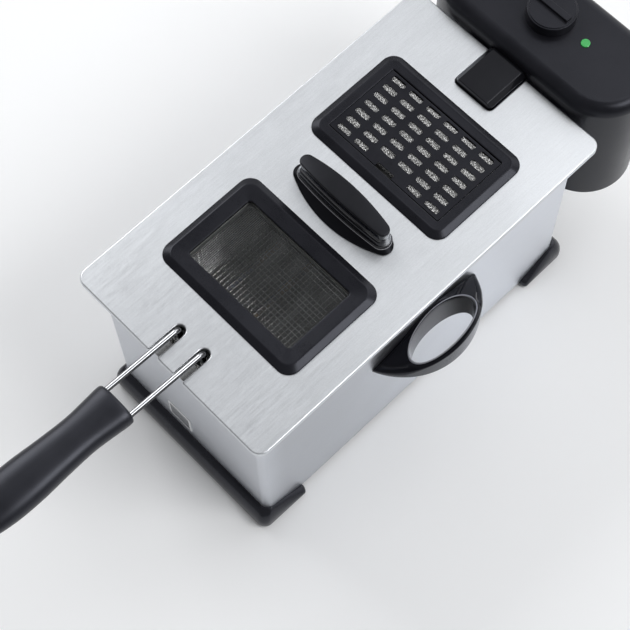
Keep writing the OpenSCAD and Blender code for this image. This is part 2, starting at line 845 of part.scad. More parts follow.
module control_bridge() {
    half = notch_w / 2 - bridge_gap;
    top = lid_top + bridge_h;
    low = brack_z + brack_t;
    y1 = notch_y + bridge_gap;
    reach = unit_y - y1;
    bevel = 4;
    color(black) placed() difference() {
        intersection() {
            translate([0, unit_y, 0]) rotate([90, 0, 0]) linear_extrude(reach)
                polygon([[-half, low], [half, low], [half, top - bevel], [half - bevel, top], [bevel - half, top],
                    [-half, top - bevel]]);
            translate([0, y1 + reach, low - over]) linear_extrude(top) rrect(2 * half, 2 * reach, notch_r);
        }
        translate([0, unit_y + over, 0]) rotate([90, 0, 0]) linear_extrude(reach + over - bridge_t)
            polygon([[bridge_t - half, low - over], [half - bridge_t, low - over], [half - bridge_t, top - bevel - 1],
                [half - bevel - 1, top - bridge_t], [bevel + 1 - half, top - bridge_t], [bridge_t - half, top - bevel - 1]]);
        translate([-half - over, y1 - over, top - 3]) rotate([45, 0, 0]) mirror([0, 1, 0]) cube([2 * half + 2 * over, 6, 6]);
    }
}

module element_bracket() {
    low = loop_z + 22;
    color(steel) placed() difference() {
        union() {
            translate([-brack_w / 2, brack_y, low]) cube([brack_w, brack_t, brack_z + brack_t - low]);
            translate([-brack_w / 2, brack_y, brack_z]) cube([brack_w, block_y - brack_y, brack_t]);
        }
        for (s = [-1, 1]) translate([s * leg_x - tube_r - fit, brack_y - over, tube_mid - tube_bend - 2])
            cube([2 * (tube_r + fit), tube_bend + over, tube_bend]);
    }
}

module heating_element() {
    elbow = leg_y - tube_bend;
    back = elbow - tube_bend;
    front = pot_y + ledge_l + 28;
    turn_r = pin_x;
    far = back - 14 - turn_r;
    color(zinc) placed() for (m = [0, 1]) mirror([m, 0, 0]) {
        rod_y(leg_x, leg_y + tube_bend, block_y, tube_mid, tube_r);
        translate([leg_x, leg_y + tube_bend, tube_mid - tube_bend]) rotate([90, 0, 90]) rotate([0, 0, 90])
            rotate_extrude(angle = 90) translate([tube_bend, 0]) circle(tube_r);
        translate([leg_x, leg_y, loop_z + tube_bend]) cylinder(h = tube_mid - loop_z - 2 * tube_bend, r = tube_r);
        translate([leg_x, elbow, loop_z + tube_bend]) rotate([90, 0, 90]) rotate([0, 0, -90])
            rotate_extrude(angle = 90) translate([tube_bend, 0]) circle(tube_r);
        bend_flat(leg_x + tube_bend, elbow, loop_z, tube_bend, tube_r, 180, 90);
        rod_x(leg_x + tube_bend, loop_x - tube_bend, back, loop_z, tube_r);
        bend_flat(loop_x - tube_bend, back - tube_bend, loop_z, tube_bend, tube_r, 0, 90);
        rod_y(loop_x, front + tube_bend, back - tube_bend, loop_z, tube_r);
        bend_flat(loop_x - tube_bend, front + tube_bend, loop_z, tube_bend, tube_r, 270, 90);
        rod_x(pin_x + tube_bend, loop_x - tube_bend, front, loop_z, tube_r);
        bend_flat(pin_x + tube_bend, front + tube_bend, loop_z, tube_bend, tube_r, 180, 90);
        rod_y(pin_x, front + tube_bend, far, loop_z, tube_r);
        bend_flat(0, far, loop_z, turn_r, tube_r, 0, 90);
    }
}

module thermostat_bulb() {
    by = brack_y - bulb_r;
    cz = brack_z + brack_t + cap_r;
    color(zinc) placed() {
        translate([0, by, bulb_z]) cylinder(h = bulb_h, r = bulb_r);
        translate([0, by, bulb_z + bulb_h]) cylinder(h = cz - bulb_z - bulb_h, r = cap_r);
        translate([0, by, cz]) sphere(cap_r);
        rod_y(0, by, block_y, cz, cap_r);
    }
}

module thermostat_body() {
    color(dark) placed() difference() {
        translate([-stat_w / 2, dial_y - stat_l / 2, cavity_top - stat_h]) cube([stat_w, stat_l, stat_h]);
        translate([0, dial_y, cavity_top - stat_h / 2]) cylinder(h = stat_h, r = shaft_r + run);
    }
}

module terminal_block() {
    color(dark) placed() translate([-block_w / 2, block_y, cavity_top - block_h]) cube([block_w, block_l, block_h]);
}

module safety_switch() {
    color(dark) placed() {
        translate([switch_x - switch_w / 2, unit_wall_y, unit_z + 20]) cube([switch_w, switch_l, switch_h]);
        translate([switch_x, unit_wall_y + switch_l / 2, unit_z + 17]) cylinder(h = 3 + eps, r = 1.6);
    }
}

module thermal_cutout() {
    color(zinc) placed() {
        rod_y(reset_x, cut_y, cut_y + cut_l, reset_z, cut_r);
        for (s = [-1, 1]) translate([reset_x + s * 4 - 1.5, cut_y - 8, reset_z - 0.4]) cube([3, 8 + eps, 0.8]);
    }
}

module lamp(s) {
    translate([s * lamp_x, dial_y, cavity_top - 6]) cylinder(h = 6 + unit_t + 1, r = lamp_r);
    translate([s * lamp_x, dial_y, cavity_top - lamp_flange]) cylinder(h = lamp_flange, r = lamp_r + 1.5);
}

module power_lamp() {
    color([0.75, 0.08, 0.06]) placed() lamp(-1);
}

module heat_lamp() {
    color([0.15, 0.55, 0.18]) placed() lamp(1);
}

module cord_gland() {
    color(black) placed() translate([-gland_x, unit_cy, unit_z]) difference() {
        union() {
            translate([0, 0, -gland_h / 2]) cylinder(h = gland_h, r = gland_r);
            translate([0, 0, -head_h]) cylinder(h = head_h, r = gland_lip);
        }
        translate([0, 0, -gland_h]) cylinder(h = 2 * gland_h, r = gland_bore);
    }
}

module thermostat_dial() {
    z1 = unit_top + gap;
    rib_h = 3;
    color(dark) placed() translate([0, dial_y, z1]) {
        cylinder(h = dial_h - rib_h - 1, r = dial_r);
        cylinder(h = dial_h - rib_h, r = dial_r - 1.2);
        translate([-dial_r + 3, -3, 0]) cube([2 * dial_r - 6, 6, dial_h]);
        translate([0, 0, -gap - unit_t - stat_h / 2 + 2]) cylinder(h = stat_h / 2 + gap + unit_t, r = shaft_r);
    }
}

module reset_button() {
    color([0.7, 0.1, 0.08]) placed() {
        rod_y(reset_x, press_y, unit_back - 0.4, reset_z, reset_r);
        rod_y(reset_x, press_y, press_y + press_t, reset_z, reset_r + 2);
    }
}

module basket_frame() {
    sx = bask_w - 2 * rim_r;
    sy = bask_l - 2 * rim_r;
    z1 = bask_z + rim_r;
    z2 = bask_top - rim_r;
    color(chrome) placed() {
        wire_loop(sx, sy, bask_r, bask_cy, z1, rim_r);
        wire_loop(sx, sy, bask_r, bask_cy, z2, rim_r);
        for (s = [-1, 1], i = [-2:2]) translate([s * sx / 2, bask_cy + i * sy / 6, z1]) cylinder(h = z2 - z1, r = rib_r);
        for (s = [-1, 1], i = [-1, 1]) translate([i * sx / 4, bask_cy + s * sy / 2, z1]) cylinder(h = z2 - z1, r = rib_r);
    }
}

module basket_mesh() {
    sx = bask_w - 4 * rim_r - 2 * fit;
    sy = bask_l - 4 * rim_r - 2 * fit;
    r = bask_r - rim_r;
    z1 = bask_z + fit;
    h = bask_top - rim_r - z1;
    net_h = h - 18;
    open = net_p - net_bar;
    nx = floor((sx - 2 * r) / net_p);
    ny = floor((sy - 2 * r) / net_p);
    color(chrome) placed() difference() {
        slab(sx, sy, r, bask_cy, z1, h);
        slab(sx - 2 * net_t, sy - 2 * net_t, r - net_t, bask_cy, z1 + net_t, h);
        for (i = [0:ny - 1]) {
            y = bask_cy + (i - (ny - 1) / 2) * net_p;
            translate([-sx / 2 - over, y - open / 2, z1 + 9]) cube([sx + 2 * over, open, net_h]);
            translate([-sx / 2 + r, y - open / 2, z1 - over]) cube([sx - 2 * r, open, net_t + 2 * over]);
        }
        for (i = [0:nx - 1]) translate([(i - (nx - 1) / 2) * net_p - open / 2, bask_cy - sy / 2 - over, z1 + 9])
            cube([open, sy + 2 * over, net_h]);
    }
}

module handle_sockets() {
    top = bask_top - 1;
    color(steel) placed() difference() {
        union() {
            for (s = [-1, 1]) translate([s * wire_x, wire_y, plug_z - 2]) cylinder(h = top - plug_z + 2, r = socket_out);
            translate([-wire_x - socket_out, bask_y - 1.6, plug_z - 2]) cube([2 * (wire_x + socket_out), 1.6, top - plug_z + 2]);
            for (s = [-1, 1]) translate([s * wire_x - 1, wire_y, plug_z - 2]) cube([2, bask_y - wire_y - 1, top - plug_z + 2]);
        }
        for (s = [-1, 1]) translate([s * wire_x, wire_y, plug_z]) cylinder(h = top - plug_z + over, r = socket_r);
    }
}

module handle_wires() {
    color(chrome) placed() for (s = [-1, 1]) {
        translate([s * wire_x, wire_y, plug_z + seat]) cylinder(h = bend_z - plug_z - seat, r = wire_r);
        translate([s * wire_x, bend_y, bend_z]) rotate([90, 0, 90]) rotate_extrude(angle = turn)
            translate([wire_bend, 0]) circle(wire_r);
        translate([s * wire_x, run_y, run_z]) sphere(wire_r + bite);
        translate([s * wire_x, run_y, run_z]) rotate([turn, 0, 0]) cylinder(h = wire_free + wire_in, r = wire_r);
    }
}

module grip_part(a, b) {
    hull() {
        translate([0, 0, a[0]]) linear_extrude(eps) rrect(a[1], a[2], a[2] * 0.42, $fn = 40);
        translate([0, 0, b[0] - eps]) linear_extrude(eps) rrect(b[1], b[2], b[2] * 0.42, $fn = 40);
    }
}

module handle_grip() {
    lines = [[0, grip_w - 3, grip_h - 5], [grip_l * 0.025, grip_w, grip_h - 3], [grip_l * 0.22, grip_w - 5, grip_h - 3],
        [grip_l * 0.66, grip_w + 1, grip_h], [grip_l * 0.9, grip_w - 2, grip_h - 2], [grip_l, grip_w - 12, tail_h]];
    color(black) placed() translate([0, grip_y, grip_z]) rotate([turn, 0, 0]) difference() {
        for (i = [0:4]) grip_part(lines[i], lines[i + 1]);
        for (s = [-1, 1]) translate([s * wire_x, 0, -over]) cylinder(h = wire_in + over, r = wire_r + bite);
    }
}

// screw places of the two frames on the lid
function frame_points(cy, nw, nl) = [for (a = [-1, 1], b = [-1, 1]) [a * (nw + clamp_out) / 2, cy + b * (nl / 2 - 10)]];

function all_frame_points() = concat(frame_points(win_y, neck_w, neck_l), frame_points(filt_y, fneck_w, fneck_l));

module frame_holes(z1, z2, r) {
    for (p = all_frame_points()) translate([p[0], p[1], z1]) cylinder(h = z2 - z1, r = r);
}

module hand_holes(z1, z2, r) {
    for (s = [-1, 1]) translate([s * hand_screw_x, hand_y, z1]) cylinder(h = z2 - z1, r = r);
}

module lid_skin() {
    color(steel) placed() difference() {
        slab(lid_w, lid_l, lid_r, lid_cy, skirt_z, lid_rim);
        slab(lid_w - 2 * lid_t, lid_l - 2 * lid_t, lid_r - lid_t, lid_cy, skirt_z - over, lid_rim - lid_t + over);
        lid_cuts(skirt_z - over, lid_top + over, 0);
        slab(neck_w + 2 * fit, neck_l + 2 * fit, neck_r + fit, win_y, lid_under - over, lid_t + 2 * over);
        slab(fneck_w + 2 * fit, fneck_l + 2 * fit, neck_r + fit, filt_y, lid_under - over, lid_t + 2 * over);
        frame_holes(lid_under - over, lid_top + over, screw_r + fit);
        hand_holes(lid_under - over, lid_top + over, screw_r + fit);
    }
}

module lid_liner() {
    w = lid_w - 2 * lid_t - 2 * fit;
    l = lid_l - 2 * lid_t - 2 * fit;
    r = lid_r - lid_t - fit;
    color(steel) placed() difference() {
        union() {
            slab(w, l, r, lid_cy, liner_z, liner_t);
            loop(w, l, r, liner_t, lid_cy, liner_z, lid_under - liner_z);
            intersection() {
                lid_cuts(liner_z, lid_under, liner_t);
                slab(w, l, r, lid_cy, liner_z, lid_under - liner_z);
            }
            loop(pot_w - 2 * pot_t - bead_gap, bead_l, pot_r - 2 * pot_t, liner_t, bead_cy, liner_z - bead_h, bead_h + eps);
        }
        lid_cuts(liner_z - bead_h - over, lid_top, 0);
        slab(neck_w + 2 * fit, neck_l + 2 * fit, neck_r + fit, win_y, liner_z - over, liner_t + 2 * over);
        slab(fneck_w + 2 * fit, fneck_l + 2 * fit, neck_r + fit, filt_y, liner_z - over, liner_t + 2 * over);
        frame_holes(liner_z - over, liner_top + over, screw_r + fit);
    }
}

// raised frame with a neck through the lid
module lid_frame(w, l, nw, nl, ow, ol, cy) {
    step = 1.2;
    difference() {
        union() {
            slab(w, l, frame_r, cy, lid_top, frame_h - step);
            slab(w - 2 * step, l - 2 * step, frame_r - step, cy, lid_top + frame_h - step - eps, step + eps);
            slab(nw, nl, neck_r, cy, glass_z, lid_top - glass_z + eps);
        }
        slab(ow, ol, pane_r, cy, glass_z - over, lid_top + frame_h - glass_z + 2 * over);
        frame_holes(lid_top - over, lid_top + frame_h - 1, screw_r + bite);
    }
}

module window_frame() {
    color(black) placed() difference() {
        lid_frame(win_w, win_l, neck_w, neck_l, glass_w, glass_l, win_y);
        slab(glass_full_w + 2 * fit, glass_full_l + 2 * fit, pane_r + fit, win_y, glass_z - over, seal_top - glass_z + over);
    }
}

module window_seal() {
    color([0.55, 0.55, 0.53]) placed()
        loop(glass_full_w, glass_full_l, pane_r, glass_pad, win_y, glass_top, seal_t);
}

module window_glass() {
    color([0.75, 0.85, 0.85]) placed() slab(glass_full_w, glass_full_l, pane_r, win_y, glass_z, glass_t);
}

// clamp under the lid around a neck
module clamp(nw, nl, cy, ow, ol) {
    difference() {
        union() {
            slab(nw + 2 * clamp_out, nl + 2 * clamp_out, frame_r, cy, clamp_z, clamp_t);
            loop(nw + 2 * clamp_out, nl + 2 * clamp_out, frame_r, clamp_out - fit, cy, clamp_z, liner_z - clamp_z);
        }
        slab(ow, ol, pane_r, cy, clamp_z - over, clamp_t + 2 * over);
        frame_holes(clamp_z - over, liner_z + over, screw_r + fit);
    }
}

module window_clamp() {
    color(steel) placed() clamp(neck_w, neck_l, win_y, glass_w, glass_l);
}

module filter_clamp() {
    color(steel) placed() clamp(fneck_w, fneck_l, filt_y, fpock_w - 2 * fledge_w, fpock_l - 2 * fledge_w);
}

module lid_screws() {
    color(zinc) placed() for (p = all_frame_points())
        screw_up(p[0], p[1], clamp_z, lid_top + frame_h - 1 - clamp_z);
}

module lid_handle() {
    mid = arch_r - cap_t;
    color(black) placed() difference() {
        translate([0, hand_y, lid_top]) union() {
            linear_extrude(hand_base - 1) oval(hand_w, hand_l, 8);
            linear_extrude(hand_base) oval(hand_w - 2, hand_l - 2, 7);
            intersection() {
                hull() {
                    translate([0, 0, hand_base - eps]) linear_extrude(eps) oval(cap_w + 3, hand_l * 0.8, 7);
                    translate([0, 0, hand_h - cap_t]) linear_extrude(eps) oval(cap_w - 2, cap_l - 1, 4.6);
                }
                translate([0, hand_l / 2, arch_z - lid_top]) rotate([90, 0, 0])
                    cylinder(h = hand_l, r = mid - neck_drop, $fn = 360);
            }
            intersection() {
                translate([0, 0, hand_base]) linear_extrude(hand_h) oval(cap_w - 2 - 2 * neck_step, cap_l - 1 - 2 * neck_step, 3.6);
                translate([0, hand_l / 2, arch_z - lid_top]) rotate([90, 0, 0]) cylinder(h = hand_l, r = mid, $fn = 360);
            }
        }
        hand_holes(lid_top - over, lid_top + screw_len, screw_r + bite);
    }
}

module lid_handle_cap() {
    color(black) placed() translate([0, hand_y, lid_top]) intersection() {
        linear_extrude(hand_h + over) oval(cap_w, cap_l, 5);
        translate([0, hand_l / 2, arch_z - lid_top]) rotate([90, 0, 0]) difference() {
            cylinder(h = hand_l, r = arch_r, $fn = 360);
            translate([0, 0, -over]) cylinder(h = hand_l + 2 * over, r = arch_r - cap_t, $fn = 360);
        }
    }
}

module lid_handle_screws() {
    color(zinc) placed() for (s = [-1, 1]) screw_up(s * hand_screw_x, hand_y, lid_under, screw_len + lid_t - 1);
}

module filter_frame() {
    color(black) placed() difference() {
        lid_frame(filt_w, filt_l, fneck_w, fneck_l, fpock_w - 2 * fledge_w, fpock_l - 2 * fledge_w, filt_y);
        slab(fpock_w, fpock_l, pocket_r, filt_y, char_z, lid_top + frame_h - char_z + over);
        rod_x(-fpock_w / 2 - pin_l, fpock_w / 2 + pin_l, hinge_y, hinge_z, pin_r + run);
    }
}

module charcoal_filter() {
    color(dark) placed() slab(fpock_w - 2 * fit, fpock_l - 2 * fit, pocket_r, filt_y, char_z, charcoal_t);
}

module mesh_filter() {
    color(steel) placed() difference() {
        slab(fpock_w - 2 * fit, fpock_l - 2 * fit, pocket_r, filt_y, mesh_z, mesh_t);
        for (i = [-5:5], j = [-3:3]) translate([i * 10, filt_y + j * 9, mesh_z - over])
            cylinder(h = mesh_t + 2 * over, r = 2.4);
    }
}

module filter_cover() {
    notch_y1 = filt_y - cover_l / 2 - over;
    color(black) placed() difference() {
        union() {
            translate([0, filt_y - hinge_r / 2, cover_z]) linear_extrude(cover_t) rrect(cover_w, cover_l - hinge_r, pocket_r);
            rod_x(-cover_w / 2, cover_w / 2, hinge_y, hinge_z, hinge_r);
            rod_x(-fpock_w / 2 - pin_l + fit, fpock_w / 2 + pin_l - fit, hinge_y, hinge_z, pin_r);
        }
        translate([-finger_w / 2, notch_y1, cover_z - over]) cube([finger_w, 4 + over, cover_t + 2 * over]);
        for (i = [0:vent_nx - 1], j = [0:vent_ny - 1])
            if (j > 0 || abs(i - (vent_nx - 1) / 2) > 1)
                translate([(i - (vent_nx - 1) / 2) * vent_px, filt_y + (j - (vent_ny - 1) / 2) * vent_py, cover_z - over])
                    linear_extrude(cover_t + 2 * over) rrect(vent_w, vent_l, vent_l * 0.4);
    }
}

casing();
base_plate();
front_foot();
rear_foot();
foot_pads();
base_screws();
right_handle();
left_handle();
casing_screws();
name_plate();
guide_rails();
oil_pot();
control_housing();
control_back();
control_base();
control_screws();
control_bridge();
element_bracket();
heating_element();
thermostat_bulb();
thermostat_body();
terminal_block();
safety_switch();
thermal_cutout();
power_lamp();
heat_lamp();
cord_gland();
thermostat_dial();
reset_button();
basket_frame();
basket_mesh();
handle_sockets();
handle_wires();
handle_grip();
lid_skin();
lid_liner();
window_frame();
window_seal();
window_glass();
window_clamp();
lid_handle();
lid_handle_cap();
lid_handle_screws();
filter_frame();
filter_clamp();
charcoal_filter();
mesh_filter();
filter_cover();
lid_screws();
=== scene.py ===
"""Looks of a household deep fryer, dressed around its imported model.

Sizes are written in millimetres in the lid's frame: x to the right, y from the lid's front edge to the rear,
z up from the floor. metres() carries them into the model's frame.
"""

from __future__ import annotations

import logging
import math
from dataclasses import dataclass, field
from enum import Enum
from typing import Any, Callable, Sequence

import bmesh
import bpy
import numpy as np
from mathutils import Matrix, Vector
from mathutils.geometry import tessellate_polygon


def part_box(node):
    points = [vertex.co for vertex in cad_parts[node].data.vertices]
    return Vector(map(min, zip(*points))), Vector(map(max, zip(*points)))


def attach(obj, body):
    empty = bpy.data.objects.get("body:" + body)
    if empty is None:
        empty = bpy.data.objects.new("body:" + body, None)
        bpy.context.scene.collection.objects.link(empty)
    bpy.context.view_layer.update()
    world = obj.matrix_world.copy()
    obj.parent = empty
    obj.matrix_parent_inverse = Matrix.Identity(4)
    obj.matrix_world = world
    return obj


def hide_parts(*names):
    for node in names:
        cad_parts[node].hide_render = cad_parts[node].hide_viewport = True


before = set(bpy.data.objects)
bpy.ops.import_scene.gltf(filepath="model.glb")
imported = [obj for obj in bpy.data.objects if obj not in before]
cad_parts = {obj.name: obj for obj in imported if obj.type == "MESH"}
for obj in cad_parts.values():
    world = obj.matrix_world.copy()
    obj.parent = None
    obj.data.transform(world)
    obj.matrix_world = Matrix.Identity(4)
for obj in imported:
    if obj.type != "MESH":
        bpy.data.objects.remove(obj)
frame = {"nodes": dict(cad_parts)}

LOG = logging.getLogger("fryer")
MM = 0.001
LID_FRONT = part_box("lid_skin")[0].y
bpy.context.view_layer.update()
TURN = 2.0 * math.pi
QUARTER = math.pi / 2
LID_TOP = 216.0  # height of the lid's upper face
WIRE_X = 14.0  # distance of the handle's wires and their slots from the middle
CASE_HALF = 91.65  # half the casing's width
CASE_MIDDLE = 190.3  # y of its middle
CASE_CORNER = 7.0  # radius of its upright corners

Colour = tuple[float, float, float]
Input = Any


class Body(Enum):
    """Bodies that move as one."""

    CASING = "casing"
    POT = "pot"
    CONTROL = "control_unit"
    DIAL = "dial"
    RESET = "reset_button"
    BASKET = "basket"
    HANDLE = "basket_handle"
    LID = "lid"
    COVER = "filter_cover"


class Grain(Enum):
    """Way that the brushing runs on a sheet of steel."""

    ALONG = (1.0, 0.03, 1.0)
    ACROSS = (0.03, 1.0, 1.0)
    UPRIGHT = (1.0, 1.0, 0.03)
    LEVEL = (0.03, 0.03, 1.0)


# ---------------------------------------------------------------- shapes


def metres(points: np.ndarray) -> np.ndarray:
    """Carries points from the lid's frame into the model's, in metres."""
    return np.asarray(points, float) * MM + np.array([0.0, LID_FRONT, 0.0])


def unit(vectors: np.ndarray) -> np.ndarray:
    """The same directions with length 1."""
    return vectors / np.linalg.norm(vectors, axis=1, keepdims=True)


def rounded_polygon(
    corners: Sequence[Sequence[float]], radii: Sequence[float], steps: int
) -> tuple[np.ndarray, np.ndarray]:
    """Closed outline, anticlockwise, with an arc at each corner.

    The direction of travel turns evenly through each corner's angle. The normal is the direction turned a
    quarter to the right. A point is the arc's centre plus the radius times the normal, or minus it at an
    inward corner.

    Args:
        corners: x and y of each corner.
        radii: radius of each corner's arc.
        steps: points on each arc.

    Returns:
        Points and outward normals, each of shape (corners x steps, 2).
    """
    c = np.asarray(corners, float)
    r = np.asarray(radii, float)
    ahead = unit(np.roll(c, -1, axis=0) - c)
    back = np.roll(ahead, 1, axis=0)
    cross = back[:, 0] * ahead[:, 1] - back[:, 1] * ahead[:, 0]
    angle = np.arctan2(cross, (back * ahead).sum(1))
    side = np.sign(angle)
    start = np.arctan2(back[:, 1], back[:, 0])
    heading = start[:, None] + angle[:, None] * np.linspace(0.0, 1.0, steps)[None, :]
    normal = np.stack([np.sin(heading), -np.cos(heading)], axis=-1)
    touch = c - back * (r * np.tan(np.abs(angle) / 2.0))[:, None]
    centre = touch - (side * r)[:, None] * normal[:, 0]
    points = centre[:, None, :] + (side * r)[:, None, None] * normal
    return points.reshape(-1, 2), normal.reshape(-1, 2)


def rounded_rectangle(
    half_x: float, half_y: float, radius: float, centre_y: float, steps: int = 9, least: float = 0.05
) -> np.ndarray:
    """Points of a rectangle with round corners, centred on x = 0.

    Args:
        half_x: half the width.
        half_y: half the length.
        radius: radius of the corners.
        centre_y: y of the middle.
        steps: points on each corner.
        least: smallest radius that is drawn.

    Returns:
        Array of shape (4 x steps, 2).
    """
    corners = [(-half_x, -half_y), (half_x, -half_y), (half_x, half_y), (-half_x, half_y)]
    points, _ = rounded_polygon(corners, [max(radius, least)] * 4, steps)
    return points + np.array([0.0, centre_y])


def level(points: np.ndarray, z: float | np.ndarray) -> np.ndarray:
    """Puts a flat outline at a height, one for all its points or one for each."""
    return np.column_stack([points, np.broadcast_to(z, len(points))])


def rectangle_rings(
    half: tuple[float, float],
    corner: float,
    middle: float,
    marks: Sequence[tuple[float, float]],
    steps: int = 9,
) -> list[np.ndarray]:
    """Rings of one rounded rectangle, drawn in by an inset at each height.

    Args:
        half: half its width and half its length.
        corner: radius of its corners.
        middle: y of its middle.
        marks: inset and height of each ring.
        steps: points on each corner.

    Returns:
        The rings.
    """
    rings = []
    for inset, z in marks:
        x, y, radius = half[0] - inset, half[1] - inset, max(corner - inset, 0.8)
        rings.append(level(rounded_rectangle(x, y, radius, middle, steps), z))
    return rings


def blunt_oval(half_x: float, half_y: float, end: float, steps: int = 24) -> np.ndarray:
    """Long oval of four tangent arcs: a small one at each end and a wide one along each side.

    Args:
        half_x: half the length, along x.
        half_y: half the width.
        end: radius of the ends, less than half the width.
        steps: points on each arc.

    Returns:
        Array of shape (4 x steps, 2), anticlockwise.
    """
    hub = half_x - end
    wide = (hub**2 + half_y**2 - end**2) / (2.0 * (half_y - end))
    turn = math.atan2(wide - half_y, hub)
    tip = np.linspace(-turn, turn, steps, endpoint=False)
    side = np.linspace(turn, math.pi - turn, steps, endpoint=False)
    right = np.stack([hub + end * np.cos(tip), end * np.sin(tip)], axis=-1)
    top = np.stack([wide * np.cos(side), half_y - wide + wide * np.sin(side)], axis=-1)
    return np.concatenate([right, top, -right, -top])


def circles(along: np.ndarray, helper: np.ndarray, radius: float, sides: int) -> np.ndarray:
    """Circles that stand square to given directions.

    Args:
        along: directions of length 1.
        helper: direction, or one for each, that is not parallel to them.
        radius: radius of the circles.
        sides: points on each.

    Returns:
        Offsets from the centres, of shape (directions, sides, 3).
    """
    first = unit(np.cross(along, helper))
    second = np.cross(along, first)
    angle = np.arange(sides) * TURN / sides
    return radius * (
        np.cos(angle)[None, :, None] * first[:, None] + np.sin(angle)[None, :, None] * second[:, None]
    )


def eased(knots: Sequence[float], values: Sequence[float], at: np.ndarray) -> np.ndarray:
    """Smooth line through given values: a cubic between each two, with the chords' slopes about each knot.

    Args:
        knots: places of the values, rising.
        values: the values.
        at: places to read.

    Returns:
        The line's values there.
    """
    k, v = np.asarray(knots, float), np.asarray(values, float)
    slope = np.gradient(v, k)
    i = np.clip(np.searchsorted(k, at, side="right") - 1, 0, len(k) - 2)
    gap = k[i + 1] - k[i]
    t = np.clip((at - k[i]) / gap, 0.0, 1.0)
    rise = (2 * t**3 - 3 * t**2 + 1) * v[i] + (3 * t**2 - 2 * t**3) * v[i + 1]
    return rise + (t**3 - 2 * t**2 + t) * gap * slope[i] + (t**3 - t**2) * gap * slope[i + 1]


def mended(mesh: bpy.types.Mesh, distance: float, mend: Callable[[bmesh.types.BMesh], Any]) -> bpy.types.Mesh:
    """Joins a mesh's points that lie within a distance in metres, then mends it in one more way.

    Args:
        mesh: the mesh, which is changed.
        distance: how near two points are to be joined.
        mend: what is then done to its net of faces.

    Returns:
        The same mesh.
    """
    net = bmesh.new()
    net.from_mesh(mesh)
    bmesh.ops.remove_doubles(net, verts=net.verts, dist=distance)
    mend(net)
    net.to_mesh(mesh)
    net.free()
    return mesh


@dataclass
class Shell:
    """One surface while it is being made, in millimetres of the lid's frame."""

    points: list[np.ndarray] = field(default_factory=list)
    faces: list[np.ndarray] = field(default_factory=list)
    count: int = 0

    def add(self, points: np.ndarray) -> np.ndarray:
        """Adds points and gives their numbers, in the same arrangement."""
        points = np.asarray(points, float)
        index = self.count + np.arange(points[..., 0].size).reshape(points.shape[:-1])
        self.points.append(points.reshape(-1, 3))
        self.count += index.size
        return index

    def grid(self, rows: np.ndarray, ring: bool = True, loop: bool = False) -> np.ndarray:
        """Adds a net of four-sided faces on a grid of points.

        Args:
            rows: array of shape (rows, columns, 3).
            ring: the last column joins the first.
            loop: the last row joins the first.

        Returns:
            The grid's vertex numbers.
        """
        index = self.add(rows)
        net = np.concatenate([index, index[:, :1]], axis=1) if ring else index
        net = np.concatenate([net, net[:1]], axis=0) if loop else net
        quads = np.stack([net[:-1, :-1], net[:-1, 1:], net[1:, 1:], net[1:, :-1]], axis=-1)
        self.faces.append(quads.reshape(-1, 4))
        return index

    def lid(self, ring: np.ndarray) -> None:
        """Closes a ring of vertices with one face."""
        self.faces.append(np.asarray(ring).reshape(1, -1))

    def loft(self, rows: np.ndarray) -> None:
        """Adds a closed skin through rings with the same number of points, with a face on each end."""
        index = self.grid(rows)
        self.lid(index[0][::-1])
        self.lid(index[-1])

    def fill(self, *rings: np.ndarray) -> None:
        """Fills the level area inside the first ring of vertices and outside the others."""
        every = np.concatenate(self.points)
        polygons = [[Vector(every[i]) for i in ring] for ring in rings]
        self.faces.append(np.concatenate(rings)[np.array(tessellate_polygon(polygons))])

    def tube(self, path: np.ndarray, radius: float, sides: int, closed: bool = False) -> None:
        """Adds a round tube: at each point of the path a circle stands square to the path's direction.

        Args:
            path: array of shape (points, 3).
            radius: radius of the tube.
            sides: points on each circle.
            closed: the path is a loop.
        """
        ahead, behind = np.roll(path, -1, axis=0), np.roll(path, 1, axis=0)
        along = unit(ahead - behind if closed else np.gradient(path, axis=0))
        helper, spare = np.array([0.0013, 0.0007, 1.0]), np.array([1.0, 0.0007, 0.0013])
        steep = np.linalg.norm(np.cross(along, helper), axis=1) < 0.3
        rows = path[:, None] + circles(along, spare if steep.any() else helper, radius, sides)
        if closed:
            self.grid(rows, loop=True)
        else:
            self.loft(rows)

    def bars(self, starts: np.ndarray, ends: np.ndarray, radius: float, sides: int = 6) -> None:
        """Adds straight round wires.

        Args:
            starts: array of shape (wires, 3).
            ends: the other ends.
            radius: radius of the wires.
            sides: points on each ring.
        """
        along = unit(ends - starts)
        across, upright = np.array([[1.0, 0.0, 0.0]]), np.array([[0.0, 0.0, 1.0]])
        helper = np.where(np.abs(along[:, 2:3]) > 0.9, across, upright)
        for start, end, circle in zip(starts, ends, circles(along, helper, radius, sides)):
            self.loft(np.stack([start + circle, end + circle]))

    def mesh(self, name: str) -> bpy.types.Mesh:
        """Puts the arrays into a mesh in the model's frame, with its faces turned outwards.

        Args:
            name: name of the mesh.

        Returns:
            The mesh.
        """
        mesh = bpy.data.meshes.new(name)
        mesh.vertices.add(self.count)
        mesh.vertices.foreach_set("co", metres(np.concatenate(self.points)).ravel())
        sizes = np.concatenate([np.full(len(f), f.shape[1]) for f in self.faces])
        mesh.loops.add(int(sizes.sum()))
        corners = np.concatenate([f.ravel() for f in self.faces])
        mesh.loops.foreach_set("vertex_index", corners.astype(np.int32))
        mesh.polygons.add(len(sizes))
        mesh.polygons.foreach_set("loop_start", (np.cumsum(sizes) - sizes).astype(np.int32))
        mesh.update(calc_edges=True)
        mesh.validate()
        return mended(mesh, 1e-6, lambda net: bmesh.ops.recalc_face_normals(net, faces=net.faces))


